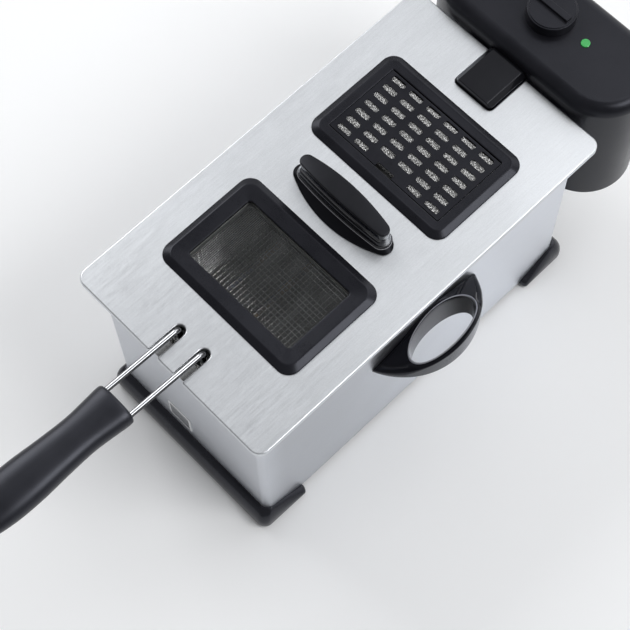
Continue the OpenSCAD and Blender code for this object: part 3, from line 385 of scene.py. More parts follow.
def ringed(name: str, rows: Sequence[np.ndarray], loop: bool = False) -> bpy.types.Mesh:
    """Mesh of closed rings, each joined to the next.

    Args:
        name: name of the mesh.
        rows: the rings, with the same number of points.
        loop: the last ring is joined to the first.

    Returns:
        The mesh.
    """
    shell = Shell()
    shell.grid(np.stack(rows), loop=loop)
    return shell.mesh(name)


def linked(name: str, data: bpy.types.ID) -> bpy.types.Object:
    """Makes an object of a mesh, a light or a camera, and links it to the scene."""
    thing = bpy.data.objects.new(name, data)
    bpy.context.scene.collection.objects.link(thing)
    return thing


def softened(node: str) -> bpy.types.Mesh:
    """Copy of a solid's surface with its loose triangles joined and its flat areas made whole.

    Args:
        node: name of the solid.

    Returns:
        The new mesh, in the same place.
    """
    mesh = frame["nodes"][node].data.copy()
    mesh.name = f"{node}_skin"

    def flatten(net: bmesh.types.BMesh) -> None:
        """Joins faces that lie in one plane."""
        bmesh.ops.dissolve_limit(net, angle_limit=math.radians(0.6), verts=net.verts, edges=net.edges)

    return mended(mesh, 2e-6, flatten)


@dataclass(frozen=True)
class Edge:
    """How a piece's edges are finished.

    Attributes:
        width: width of the rounding in millimetres, 0 for none.
        sharp: angle in degrees from which an edge is rounded, or stays crisp.
        lead: how far broad faces lead the shading, in percent.
    """

    width: float = 0.0
    sharp: float = 32.0
    lead: int = 80

    def apply(self, thing: bpy.types.Object) -> None:
        """Rounds the edges and lets broad faces lead the shading."""
        mesh = thing.data
        mesh.polygons.foreach_set("use_smooth", np.ones(len(mesh.polygons), bool))
        if self.width:
            bevel = thing.modifiers.new("rounding", "BEVEL")
            bevel.width = self.width * MM
            bevel.segments = 2
            bevel.limit_method = "ANGLE"
            bevel.angle_limit = math.radians(self.sharp)
            bevel.use_clamp_overlap = True
        else:
            mesh.set_sharp_from_angle(angle=math.radians(self.sharp))
        shading = thing.modifiers.new("shading", "WEIGHTED_NORMAL")
        shading.weight = self.lead
        shading.keep_sharp = True


# ---------------------------------------------------------------- shader sums


def sums(operation: str, swapped: bool = False) -> Callable[..., Term]:
    """Makes a method that adds one Math node.

    Args:
        operation: the node's operation.
        swapped: the term itself comes last, as a reflected operator has it.

    Returns:
        The method, which takes the other inputs and gives the node's result.
    """

    def method(term: Term, *others: Term | float) -> Term:
        """Adds the node to the term's graph."""
        inputs = (*others, term) if swapped else (term, *others)
        made = term.graph.node("ShaderNodeMath", {"operation": operation}, dict(enumerate(inputs)))
        return Term(term.graph, made.outputs[0])

    return method


class Term:
    """A socket that takes part in sums, each of which adds a Math node."""

    __add__ = __radd__ = sums("ADD")
    __mul__ = __rmul__ = sums("MULTIPLY")
    __sub__, __rsub__ = sums("SUBTRACT"), sums("SUBTRACT", swapped=True)
    __truediv__, __rtruediv__ = sums("DIVIDE"), sums("DIVIDE", swapped=True)
    __pow__ = sums("POWER")
    size = sums("ABSOLUTE")
    sine = sums("SINE")
    least = sums("MINIMUM")

    def __init__(self, graph: Graph, socket: bpy.types.NodeSocket) -> None:
        """Keeps the graph and the output socket."""
        self.graph = graph
        self.socket = socket

    def ramp(self, low: float, high: float, start: float = 0.0, end: float = 1.0) -> Term:
        """Smooth step from start at low to end at high."""
        made = self.graph.node(
            "ShaderNodeMapRange",
            {"interpolation_type": "SMOOTHSTEP"},
            {"Value": self, "From Min": low, "From Max": high, "To Min": start, "To Max": end},
        )
        return Term(self.graph, made.outputs[0])


class Graph:
    """The node graph of one material or world."""

    def __init__(self, owner: bpy.types.Material | bpy.types.World) -> None:
        """Empties the owner's node tree."""
        owner.use_nodes = True
        self.tree = owner.node_tree
        self.tree.nodes.clear()

    def node(
        self, kind: str, settings: dict[str, Any] | None = None, inputs: dict[Any, Input] | None = None
    ) -> bpy.types.Node:
        """Adds a node of any kind.

        Args:
            kind: type of the node.
            settings: its settings, set first.
            inputs: value or link of each socket, by name or number.

        Returns:
            The node.
        """
        made = self.tree.nodes.new(kind)
        for key, value in (settings or {}).items():
            setattr(made, key, value)
        for key, value in (inputs or {}).items():
            target = made.inputs[key]
            if isinstance(value, Term):
                self.tree.links.new(value.socket, target)
            elif isinstance(value, bpy.types.NodeSocket):
                self.tree.links.new(value, target)
            elif isinstance(value, tuple) and target.type == "RGBA" and len(value) == 3:
                target.default_value = (*value, 1.0)
            else:
                target.default_value = value
        return made

    def place(self, scale: Sequence[float] = (1.0, 1.0, 1.0)) -> bpy.types.NodeSocket:
        """Object coordinates in millimetres, stretched along each axis."""
        coordinates = self.node("ShaderNodeTexCoord").outputs["Object"]
        stretch = tuple(s / MM for s in scale)
        made = self.node("ShaderNodeVectorMath", {"operation": "MULTIPLY"}, {0: coordinates, 1: stretch})
        return made.outputs[0]

    def noise(
        self, place: bpy.types.NodeSocket, scale: float, detail: float = 3.0, rough: float = 0.55
    ) -> Term:
        """Fractal noise from 0 to 1.

        Args:
            place: coordinates in millimetres.
            scale: grains to a millimetre.
            detail: octaves.
            rough: strength of the finer octaves.

        Returns:
            The noise.
        """
        inputs = {"Vector": place, "Scale": scale, "Detail": detail, "Roughness": rough}
        return Term(self, self.node("ShaderNodeTexNoise", None, inputs).outputs[0])

    def cells(self, place: bpy.types.NodeSocket, scale: float) -> Term:
        """Distance to the nearest of scattered points."""
        made = self.node("ShaderNodeTexVoronoi", None, {"Vector": place, "Scale": scale})
        return Term(self, made.outputs["Distance"])

    def mixed(self, share: Term | float, first: Input, second: Input) -> bpy.types.NodeSocket:
        """Mix of two colours or links, with a share of the second."""
        made = self.node("ShaderNodeMix", {"data_type": "RGBA"}, {0: share, 6: first, 7: second})
        return made.outputs[2]

    def axes(self, place: bpy.types.NodeSocket) -> tuple[Term, ...]:
        """The three parts of a vector."""
        made = self.node("ShaderNodeSeparateXYZ", None, {0: place})
        return tuple(Term(self, output) for output in made.outputs)

    def upward(self) -> Term:
        """How far the surface faces up: the z of its own normal."""
        return self.axes(self.node("ShaderNodeTexCoord").outputs["Normal"])[2]

    def bump(self, height: Term, depth: float, strength: float = 1.0) -> bpy.types.NodeSocket:
        """Normal of a relief from 0 to 1, whose depth is in millimetres, with the share of it that shows."""
        inputs = {"Height": height, "Distance": depth * MM, "Strength": strength}
        return self.node("ShaderNodeBump", None, inputs).outputs[0]

    def surface(self, colour: Input, rough: Input, more: dict[str, Input]) -> None:
        """Ends the graph in a Principled shader.

        Args:
            colour: its base colour.
            rough: its roughness.
            more: its other inputs by name.
        """
        inputs = {"Base Color": colour, "Roughness": rough, **more}
        shader = self.node("ShaderNodeBsdfPrincipled", None, inputs)
        self.node("ShaderNodeOutputMaterial", None, {0: shader.outputs[0]})


# ---------------------------------------------------------------- finishes


@dataclass(frozen=True)
class Finish:
    """A finish that a piece can be given.

    Attributes:
        name: name of its material.
        slot: the model's slot for it; not used.
        colour: main colour.
        rough: middle roughness.
    """

    name: str
    slot: str
    colour: Colour
    rough: float

    def paint(self, graph: Graph) -> None:
        """Builds the finish's nodes."""
        raise NotImplementedError

    def toned(self, gain: float | Colour, plus: float = 0.0) -> Colour:
        """The main colour with its parts multiplied by a gain, or by one each, and a little added."""
        gains = gain if isinstance(gain, tuple) else (gain,) * 3
        return tuple(c * g + plus for c, g in zip(self.colour, gains))

    def worn(self, pattern: Term, down: float, up: float, low: float = 0.3, high: float = 0.7) -> Term:
        """Roughness that follows a pattern.

        Args:
            pattern: values from 0 to 1.
            down: what is added to the middle roughness at the low end.
            up: what is added at the high end.
            low: the pattern's value at the low end.
            high: its value at the high end.

        Returns:
            The roughness.
        """
        return pattern.ramp(low, high, self.rough + down, self.rough + up)

    def material(self) -> bpy.types.Material:
        """The finish's material, made once."""
        name = f"{self.name}_finish"
        known = bpy.data.materials.get(name)
        if known:
            return known
        made = bpy.data.materials.new(name)
        self.paint(Graph(made))
        return made


@dataclass(frozen=True)
class BrushedSteel(Finish):
    """Stainless sheet: long fine scratches one way, cloudy patches, and a few grains that catch the light.

    Attributes:
        grain: way of the brushing.
        depth: depth of the scratches in millimetres.
        cloud: strength of the cloudy patches.
        painted_light_and_shade: painted light and shade, as gains on the colour at its front face, just
            behind it, and at its rear.
        marks: y of the front face, of the place just behind it and of the rear, in the model's frame.
    """

    grain: Grain = Grain.ALONG
    depth: float = 0.012
    cloud: float = 0.06
    painted_light_and_shade: tuple[float, float, float] = (1.0, 1.0, 1.0)
    marks: tuple[float, float, float] = (-130.0, -104.0, 220.0)

    def paint(self, graph: Graph) -> None:
        """Builds the nodes of the brushed sheet."""
        lines = graph.place(self.grain.value)
        fine, coarse = graph.noise(lines, 3.2, 2.0), graph.noise(lines, 0.9)
        cloud = graph.noise(graph.place(), 0.012, 2.0)
        speck = graph.noise(graph.place(), 1.6, 2.0, 0.7)
        streak = fine * 0.6 + coarse * 0.4
        shade = (streak * 0.55 + speck * 0.45).ramp(0.3, 0.7, 1.0 - self.cloud * 1.6, 1.0 + self.cloud * 0.9)
        tone = shade * cloud.ramp(0.3, 0.7, 1.0 - self.cloud * 0.5, 1.0 + self.cloud * 0.3)
        y = graph.axes(graph.place())[1]
        (first, second, last), (front, behind, rear) = self.marks, self.painted_light_and_shade
        # painted light and shade: the colour is scaled by gains that change along y, for the light and shade
        # the sheet shows at the front, just behind it and at the rear.
        tone = tone * (y.ramp(first, second, front, behind) + y.ramp(second, last, 0.0, rear - behind))
        light = tuple(min(c, 0.97) for c in self.toned(1.22))
        graph.surface(
            graph.mixed(tone.ramp(0.55, 1.35), self.toned(0.72), light),
            self.worn(streak, -0.07, 0.08, 0.25, 0.75),
            {"Metallic": 1.0, "Normal": graph.bump(streak + speck * 0.5, self.depth)},
        )


@dataclass(frozen=True)
class Plastic(Finish):
    """Moulded plastic: fine texture or a polished face, faint mottling, and a touch of dust.

    Attributes:
        texture: size of the texture's grains in millimetres.
        depth: depth of the texture in millimetres.
        coat: weight of a clear polished coat.
        mottling: how much lighter the mottling gets.
        shine: level of its plain reflection.
        coat_ior: refractive index of the coat.
        tint: colour of its reflections.
    """

    texture: float = 0.35
    depth: float = 0.02
    coat: float = 0.0
    mottling: float = 0.35
    shine: float = 0.3
    coat_ior: float = 1.5
    tint: Colour = (0.84, 0.87, 1.0)

    def lit(self, graph: Graph, base: bpy.types.NodeSocket) -> bpy.types.NodeSocket:
        """Lets a kind of plastic paint a highlight into its colour from place to place; the plain one paints
        none.
        """
        return base

    def polish(self, graph: Graph) -> Term | float:
        """Lets a kind of plastic change its coat from place to place."""
        return self.coat

    def paint(self, graph: Graph) -> None:
        """Builds the nodes of the moulded plastic."""
        place = graph.place()
        grains = graph.noise(place, 1.0 / self.texture, 2.0, 0.6)
        mottle = graph.noise(place, 0.03, 4.0, 0.6)
        dust = graph.noise(place, 0.9, 2.0, 0.8).ramp(0.62, 0.8)
        base = graph.mixed(mottle.ramp(0.3, 0.7), self.colour, self.toned(1.0 + self.mottling, 0.001))
        graph.surface(
            self.lit(graph, graph.mixed(dust * 0.25, base, self.toned(1.9, 0.005))),
            self.worn(mottle * 0.6 + grains * 0.4, -0.05, 0.06, 0.25, 0.75),
            {
                "Specular IOR Level": self.shine,
                "Specular Tint": self.tint,
                "Coat Weight": self.polish(graph),
                "Coat Roughness": 0.06,
                "Coat IOR": self.coat_ior,
                "Coat Tint": self.tint,
                "Normal": graph.bump(grains, self.depth),
            },
        )


@dataclass(frozen=True)
class PolishedBody(Plastic):
    """Moulded plastic with a polished wall, a matt flange below it, and a painted highlight along the fine
    edge between them.

    Attributes:
        span: height of the lower and the upper end of the edge in millimetres.
        line: colour of the painted highlight on the edge.
        soft: how far the painted highlight fades out above and below.
        fade: height over which the coat begins.
    """

    span: tuple[float, float] = (0.0, 1.0)
    line: Colour = (0.30, 0.30, 0.32)
    soft: float = 0.05
    fade: float = 0.4

    def lit(self, graph: Graph, base: bpy.types.NodeSocket) -> bpy.types.NodeSocket:
        """Mixes in the painted highlight of the edge between its two heights."""
        z = graph.axes(graph.place())[2]
        low, high = self.span
        share = z.ramp(low - self.soft, low, 0.0, 1.0) * z.ramp(high, high + self.soft, 1.0, 0.0)
        return graph.mixed(share, base, self.line)

    def polish(self, graph: Graph) -> Term | float:
        """The coat begins above the edge."""
        z = graph.axes(graph.place())[2]
        return z.ramp(self.span[1], self.span[1] + self.fade, 0.0, self.coat)


@dataclass(frozen=True)
class LippedPlastic(Plastic):
    """Moulded plastic with a pale painted highlight along the polished lip of an oval hole.

    Attributes:
        centre: middle of the hole in millimetres, in the model's frame; both sides of x have one.
        half: half the hole's width and length.
        band: where the painted highlight begins and ends, outside the hole.
        line: colour of the painted highlight.
        depth_below: how far below the middle the painted highlight may lie.
    """

    centre: tuple[float, float, float] = (0.0, 0.0, 0.0)
    half: tuple[float, float] = (1.0, 1.0)
    band: tuple[float, float] = (0.3, 1.2)
    line: Colour = (0.30, 0.30, 0.32)
    depth_below: float = 20.0

    def line_halves(self) -> tuple[float, float]:
        """Half the width and half the length of the painted highlight's oval."""
        return self.half[0] + sum(self.band) / 2, self.half[1] + sum(self.band) / 2

    def reach(self, graph: Graph) -> Term:
        """Distance from the middle, in half widths of the painted highlight's oval."""
        x, y, _ = graph.axes(graph.place())
        half_x, half_y = self.line_halves()
        across = (x.size() - self.centre[0]) / half_x
        along = (y - self.centre[1]) / half_y
        return (across * across + along * along) ** 0.5

    def lit(self, graph: Graph, base: bpy.types.NodeSocket) -> bpy.types.NodeSocket:
        """Mixes in the painted highlight where the distance from the middle is that of the lip."""
        z = graph.axes(graph.place())[2]
        width = (self.band[1] - self.band[0]) / 2
        near = (self.reach(graph) - 1.0).size() * sum(self.line_halves()) / 2
        lowest = self.centre[2] - self.depth_below
        high = z.ramp(lowest - 1.0, lowest)
        return graph.mixed(near.ramp(width, 2.0 * width, 1.0, 0.0) * high, base, self.line)

    def polish(self, graph: Graph) -> Term | float:
        """Coat of the hole's wall fades to the rear, on top it grows to the rear, and outside it is thin."""
        y = graph.axes(graph.place())[1]
        middle, half = self.centre[1], self.half[1]
        upright = graph.upward().ramp(0.45, 0.85, 1.0, 0.0)
        within = self.reach(graph).ramp(0.97, 1.0, 1.0, 0.0)
        rear = y.ramp(middle - 0.3 * half, middle + 1.2 * half, 0.0, 0.5)
        wall = within * y.ramp(middle + 0.2 * half, middle + 0.9 * half, 0.85, 0.0)
        return (upright * (wall + (1.0 - within) * 0.4) + (1.0 - upright) * rear) * self.coat


@dataclass(frozen=True)
class PolishedWire(Finish):
    """Chromed or bright drawn wire: a mirror with faint drawing lines, a little haze, and a painted dark
    reflection on its sides where one is asked for.

    Attributes:
        haze: how far the roughness wanders.
        painted_reflection_span: the upward facings between which the painted dark reflection on the sides
            turns to the bright colour.
    """

    haze: float = 0.05
    painted_reflection_span: tuple[float, float] = (-1.1, -1.05)

    def paint(self, graph: Graph) -> None:
        """Builds the nodes of the bright wire."""
        place = graph.place()
        haze = graph.noise(place, 0.08, 2.0)
        bright = graph.mixed(haze.ramp(0.35, 0.7), self.toned(0.86), self.colour)
        # painted reflection: sides and undersides are painted dark for the dark surroundings they reflect;
        # only faces near the top keep the bright colour.
        graph.surface(
            graph.mixed(graph.upward().ramp(*self.painted_reflection_span), self.toned(0.16), bright),
            self.worn(haze, 0.0, self.haze),
            {"Metallic": 1.0, "Normal": graph.bump(graph.noise(place, 0.8), 0.01, 0.5)},
        )


@dataclass(frozen=True)
class CastRubber(Finish):
    """Matt rubber with a bloom of paler dust."""

    def paint(self, graph: Graph) -> None:
        """Builds the nodes of the rubber."""
        place = graph.place()
        bloom = graph.noise(place, 0.15, 4.0, 0.65)
        graph.surface(
            graph.mixed(bloom.ramp(0.4, 0.75), self.colour, self.toned(1.6, 0.02)),
            self.worn(bloom, -0.05, 0.08),
            {"Normal": graph.bump(graph.noise(place, 4.0, 2.0) + bloom, 0.03)},
        )


@dataclass(frozen=True)
class PlatedScrew(Finish):
    """Zinc-plated steel with the cloudy passivation of a screw."""

    def paint(self, graph: Graph) -> None:
        """Builds the nodes of the plating."""
        place = graph.place()
        cloud = graph.noise(place, 0.5)
        graph.surface(
            graph.mixed(cloud.ramp(0.35, 0.7), self.colour, self.toned((1.02, 0.97, 0.86))),
            self.worn(cloud, -0.06, 0.1),
            {"Metallic": 1.0, "Normal": graph.bump(graph.noise(place, 3.0), 0.02)},
        )


@dataclass(frozen=True)
class ClearPane(Finish):
    """Clear pane or lens: thin to look through, with a faint veil of grease and wiping marks.

    Attributes:
        body: share of the light that the pane keeps.
    """

    body: float = 0.14

    def paint(self, graph: Graph) -> None:
        """Builds the nodes of the pane."""
        wipe = graph.noise(graph.place((1.0, 0.25, 1.0)), 0.05, 4.0, 0.6)
        veiled = tuple(min(1.0, c) for c in self.toned(1.15))
        graph.surface(
            graph.mixed(wipe.ramp(0.3, 0.7), self.colour, veiled),
            self.worn(wipe, 0.0, 0.08, 0.3, 0.75),
            {
                "Alpha": wipe.ramp(0.35, 0.75, self.body, self.body + 0.07),
                "Specular IOR Level": 0.9,
                "Normal": graph.bump(wipe, 0.02, 0.4),
            },
        )


@dataclass(frozen=True)
class FilterFoam(Finish):
    """Charcoal foam: open cells, with painted shade in the pores."""

    def paint(self, graph: Graph) -> None:
        """Builds the nodes of the foam."""
        cells = graph.cells(graph.place(), 1.4)
        # painted shade: the colour darkens towards each cell's middle, where the bump sinks into a pore.
        graph.surface(
            graph.mixed(cells.ramp(0.1, 0.6), self.colour, self.toned(2.6, 0.01)),
            self.worn(cells, 0.0, 0.05, 0.1, 0.6),
            {"Normal": graph.bump(cells, 0.5)},
        )


@dataclass(frozen=True)
class KnittedMetal(Finish):
    """Knitted metal mesh: bright wire over gaps painted dark for the shade in them, from the same waves as
    its relief, and painted glints on the wire.

    Attributes:
        pitch: distance between stitches in millimetres.
    """

    pitch: float = 2.6

    def paint(self, graph: Graph) -> None:
        """Builds the nodes of the knitted mesh."""
        place = graph.place()
        jitter = graph.noise(place, 0.35)
        x, y, _ = graph.axes(place)
        wave = TURN / self.pitch
        first = (x * wave + y * wave * 0.6 + jitter * 7.0).sine().size()
        second = (y * wave * 1.1 - x * wave * 0.5 + jitter * 6.0).sine().size()
        # painted shade and glints: the gaps between the wires are painted nearly black, and scattered spots
        # of wire are painted bright as glints.
        wire = (1.0 - first.least(second)).ramp(0.25, 0.7)
        painted_glint = graph.noise(place, 0.55, 2.0, 0.8).ramp(0.36, 0.52)
        graph.surface(
            graph.mixed(wire * (painted_glint * 0.8 + 0.2), self.toned(0.03), self.colour),
            self.worn(painted_glint, 0.25, 0.0, 0.0, 1.0),
            {"Metallic": 0.15, "Normal": graph.bump(wire + painted_glint, 0.9)},
        )


@dataclass(frozen=True)
class BorderedPlate(Finish):
    """Brushed plate with a bright border round a plain field.

    Attributes:
        centre: middle of the plate across and up, in millimetres.
        half: half its width and height.
        border: width of the border.
        bright: colour of the border.
    """

    centre: tuple[float, float] = (-14.5, 53.0)
    half: tuple[float, float] = (13.7, 13.0)
    border: float = 2.0
    bright: Colour = (0.97, 0.97, 0.97)

    def paint(self, graph: Graph) -> None:
        """Builds the nodes of the plate; the border lies where the nearer edge is close."""
        x, _, z = graph.axes(graph.place())
        across = self.half[0] - (x - self.centre[0]).size()
        inward = across.least(self.half[1] - (z - self.centre[1]).size())
        share = inward.ramp(self.border, self.border + 0.2, 1.0, 0.0)
        grain = graph.noise(graph.place(Grain.ACROSS.value), 3.0, 2.0)
        graph.surface(
            graph.mixed(share, graph.mixed(grain, self.toned(0.8), self.colour), self.bright),
            self.worn(grain, -0.06, 0.06),
            {"Metallic": share.ramp(0.0, 1.0, 1.0, 0.0), "Normal": graph.bump(grain, 0.004)},
        )


@dataclass(frozen=True)
class HeatedTube(Finish):
    """Heating tube: oxidised steel with straw and blue bands of heat."""

    def paint(self, graph: Graph) -> None:
        """Builds the nodes of the tube."""
        place = graph.place()
        heat = graph.noise(place, 0.03).ramp(0.42, 0.6)
        graph.surface(
            graph.mixed(heat, self.toned((1.25, 1.05, 0.8)), self.toned((0.75, 0.85, 1.15))),
            self.worn(graph.noise(place, 0.6), -0.08, 0.1),
            {"Metallic": 0.9, "Normal": graph.bump(graph.noise(place, 2.0), 0.02)},
        )


@dataclass(frozen=True)
class PaleFloor(Finish):
    """Pale studio floor with the faintest grain."""

    def paint(self, graph: Graph) -> None:
        """Builds the nodes of the floor."""
        grain = graph.noise(graph.place(), 0.002)
        colour = graph.mixed(grain, self.toned(0.985), self.colour)
        graph.surface(colour, self.worn(grain, -0.05, 0.05), {"Specular IOR Level": 0.25})


def black(name: str, colour: Colour, rough: float, **more: Any) -> Plastic:
    """One of the fryer's black plastics, which share a slot."""
    return Plastic(name, "black_plastic", colour, rough, **more)


DEEP = (0.006, 0.006, 0.008)
LID_STEEL = BrushedSteel("lid_steel", "brushed_steel", (0.685, 0.705, 0.73), 0.39, Grain.ALONG, 0.006, 0.08)
# painted light and shade: the casing is painted a little lighter at its front face, darker just behind it and
# much lighter towards its rear.
CASING_STEEL = BrushedSteel(
    "casing_steel", "brushed_steel", (0.61, 0.63, 0.67), 0.34, Grain.LEVEL, painted_light_and_shade=(1.02, 0.80, 1.50)
)
PLAIN_STEEL = BrushedSteel("plain_steel", "plain_steel", (0.66, 0.67, 0.68), 0.34, Grain.ACROSS, 0.006, 0.05)
# painted shade: the pot's steel is painted much darker than the other steel, for the shade it lies in under
# the lid.
POT_STEEL = BrushedSteel("pot_steel", "pot_steel", (0.38, 0.385, 0.39), 0.30, Grain.UPRIGHT, 0.006, 0.05)
PLATE_STEEL = BorderedPlate("plate_steel", "name_plate", (0.36, 0.37, 0.39), 0.30)
# painted reflection: the handle wires are painted dark everywhere except along their tops.
CHROME = PolishedWire("chrome", "chrome_wire", (0.54, 0.55, 0.57), 0.06, painted_reflection_span=(0.80, 0.99))
BRIGHT_WIRE = PolishedWire("bright_wire", "chrome_wire", (0.90, 0.90, 0.89), 0.16, 0.08)
SATIN_BLACK = black("satin_black", DEEP, 0.24, texture=0.8, depth=0.008, shine=0.5)
FRAME_BLACK = black("frame_black", DEEP, 0.28, texture=0.5, depth=0.015, shine=0.28)
COVER_BLACK = black("cover_black", DEEP, 0.30, texture=0.5, depth=0.015, shine=0.25)
CAP_BLACK = black("cap_black", (0.006, 0.006, 0.007), 0.36, shine=0.22)
GLOSS_BLACK = Plastic(
    "gloss_black", "gloss_black", (0.004, 0.004, 0.005), 0.20, texture=1.2, depth=0.003, coat=0.35,
    mottling=0.1, shine=0.15
)
# painted highlight: a pale line is painted round the lid handle's plinth edge, between the heights in span.
BODY_BLACK = PolishedBody(
    "body_black", "black_plastic", (0.003, 0.003, 0.004), 0.30, texture=1.2, depth=0.003, coat=1.0,
    mottling=0.1, shine=0.12, coat_ior=1.8, span=(219.5, 219.7)
)
SOFT_TOUCH = Plastic(
    "soft_touch", "soft_touch", (0.004, 0.004, 0.006), 0.36, texture=0.8, depth=0.006, shine=0.48
)
HOUSING_BLACK = Plastic("housing_black", "housing_plastic", DEEP, 0.32)
DARK_PLASTIC = Plastic("dark_plastic", "dark_plastic", (0.04, 0.04, 0.043), 0.5)
PAD_RUBBER = CastRubber("pad_rubber", "rubber", (0.03, 0.03, 0.03), 0.8)
SEAL_RUBBER = CastRubber("seal_rubber", "rubber", (0.34, 0.34, 0.32), 0.6)
ZINC = PlatedScrew("zinc", "zinc", (0.66, 0.67, 0.68), 0.35)
CLEAR_GLASS = ClearPane("clear_glass", "clear_glass", (0.14, 0.145, 0.145), 0.03, 0.08)
RED_LENS = ClearPane("red_lens", "red_lens", (0.55, 0.02, 0.015), 0.12, 0.85)
GREEN_LENS = ClearPane("green_lens", "green_lens", (0.03, 0.40, 0.08), 0.12, 0.85)
CHARCOAL = FilterFoam("charcoal", "charcoal", (0.012, 0.012, 0.012), 0.85)
KNIT = KnittedMetal("knitted_metal", "mesh_metal", (1.0, 1.0, 0.99), 0.30, 3.0)
TUBE = HeatedTube("heated_tube", "element_tube", (0.30, 0.28, 0.26), 0.42)
FLOOR = PaleFloor("pale_floor", "floor", (0.945, 0.95, 0.955), 0.6)


def dress(finish: Finish, *nodes: str) -> None:
    """Gives solids of the model their finish, and leaves their meshes alone."""
    for node in nodes:
        thing = frame["nodes"][node]
        if not thing.material_slots:
            thing.data.materials.append(finish.material())
        for spot in thing.material_slots:
            spot.material = finish.material()
        LOG.info("dressed %s in %s", node, finish.name)


def place_piece(mesh: bpy.types.Mesh, node: str, body: Body, finish: Finish, edge: Edge = Edge()) -> None:
    """Makes an object of a mesh, with the mesh's name, and hides the solid that it stands for.

    Args:
        mesh: its surface, in place.
        node: solid that it stands for.
        body: body it moves with.
        finish: its finish.
        edge: finish of its edges.
    """
    thing = linked(mesh.name, mesh)
    mesh.materials.clear()
    mesh.materials.append(finish.material())
    edge.apply(thing)
    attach(thing, body.value)
    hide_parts(node)
    LOG.info("made %s: %d faces, rides on %s", mesh.name, len(mesh.polygons), body.value)


def soften(body: Body, finish: Finish, edge: Edge, *nodes: str) -> None:
    """Puts solids' own surfaces in their place again, with their edges rounded."""
    for node in nodes:
        place_piece(softened(node), node, body, finish, edge)


# ---------------------------------------------------------------- lid


@dataclass(frozen=True)
class LidShell:
    """Steel lid with a turned-down rim, two slots for the handle wires, a rear notch and two openings."""

    width: float = 210.0
    length: float = 381.0
    rim: float = 5.0
    sheet: float = 1.0
    corner: float = 10.0
    rounding: float = 1.3
    mouth: float = 1.5
    slot_half: float = 4.8
    slot_length: float = 32.8
    notch_half: float = 20.5
    notch_length: float = 42.7
    notch_corner: float = 4.0
    openings: tuple[tuple[float, float, float], ...] = ((64.4, 40.9, 110.0), (64.3, 40.3, 272.5))

    def outline(self) -> tuple[np.ndarray, np.ndarray]:
        """Outline of the lid from above: a rectangle with round corners, cut by the slots and the notch."""
        w, n, far = self.width / 2, self.notch_half, self.length
        inner, outer = WIRE_X - self.slot_half, WIRE_X + self.slot_half
        corners = [(-w, 0)]
        for left, right in ((-outer, -inner), (inner, outer)):
            corners += [(left, 0), (left, self.slot_length), (right, self.slot_length), (right, 0)]
        notch = far - self.notch_length
        corners += [(w, 0), (w, far), (n, far), (n, notch), (-n, notch), (-n, far), (-w, far)]
        turn, blunt, round_end = self.corner, self.mouth, self.slot_half - 0.02
        slot = [blunt, round_end, round_end, blunt]
        radii = [turn, *slot, *slot, turn, turn, blunt, self.notch_corner, self.notch_corner, blunt, turn]
        return rounded_polygon(corners, radii, 11)

    def skin(self) -> bpy.types.Mesh:
        """Sheet: the outline goes inwards and up a quarter circle, and both faces are filled."""
        line, out = self.outline()
        bottom, under = LID_TOP - self.rim, LID_TOP - self.sheet
        steps = [(self.sheet, under), (self.sheet, bottom), (0.2, bottom), (0.0, bottom + 0.2)]
        for angle in np.linspace(0.0, QUARTER, 6):
            inward, down = self.rounding * (1 - math.cos(angle)), self.rounding * (1 - math.sin(angle))
            steps.append((inward, LID_TOP - down))
        shell = Shell()
        rows = shell.grid(np.stack([level(line - inset * out, z) for inset, z in steps]))
        holes = [rounded_rectangle(x, y, 6.0, middle) for x, y, middle in self.openings]
        walls = [shell.grid(np.stack([level(hole, LID_TOP), level(hole, under)])) for hole in holes]
        shell.fill(rows[-1], *[wall[0] for wall in walls])
        shell.fill(rows[0], *[wall[1] for wall in walls])
        return shell.mesh("lid_sheet")

    def build(self) -> None:
        """Makes the lid and dresses what is fixed under it."""
        place_piece(self.skin(), "lid_skin", Body.LID, LID_STEEL, Edge(0.0, 50.0))
        soften(Body.LID, PLAIN_STEEL, Edge(0.3), "lid_liner")
        dress(PLAIN_STEEL, "window_clamp", "filter_clamp")
        dress(ZINC, "lid_screws", "lid_handle_screws")


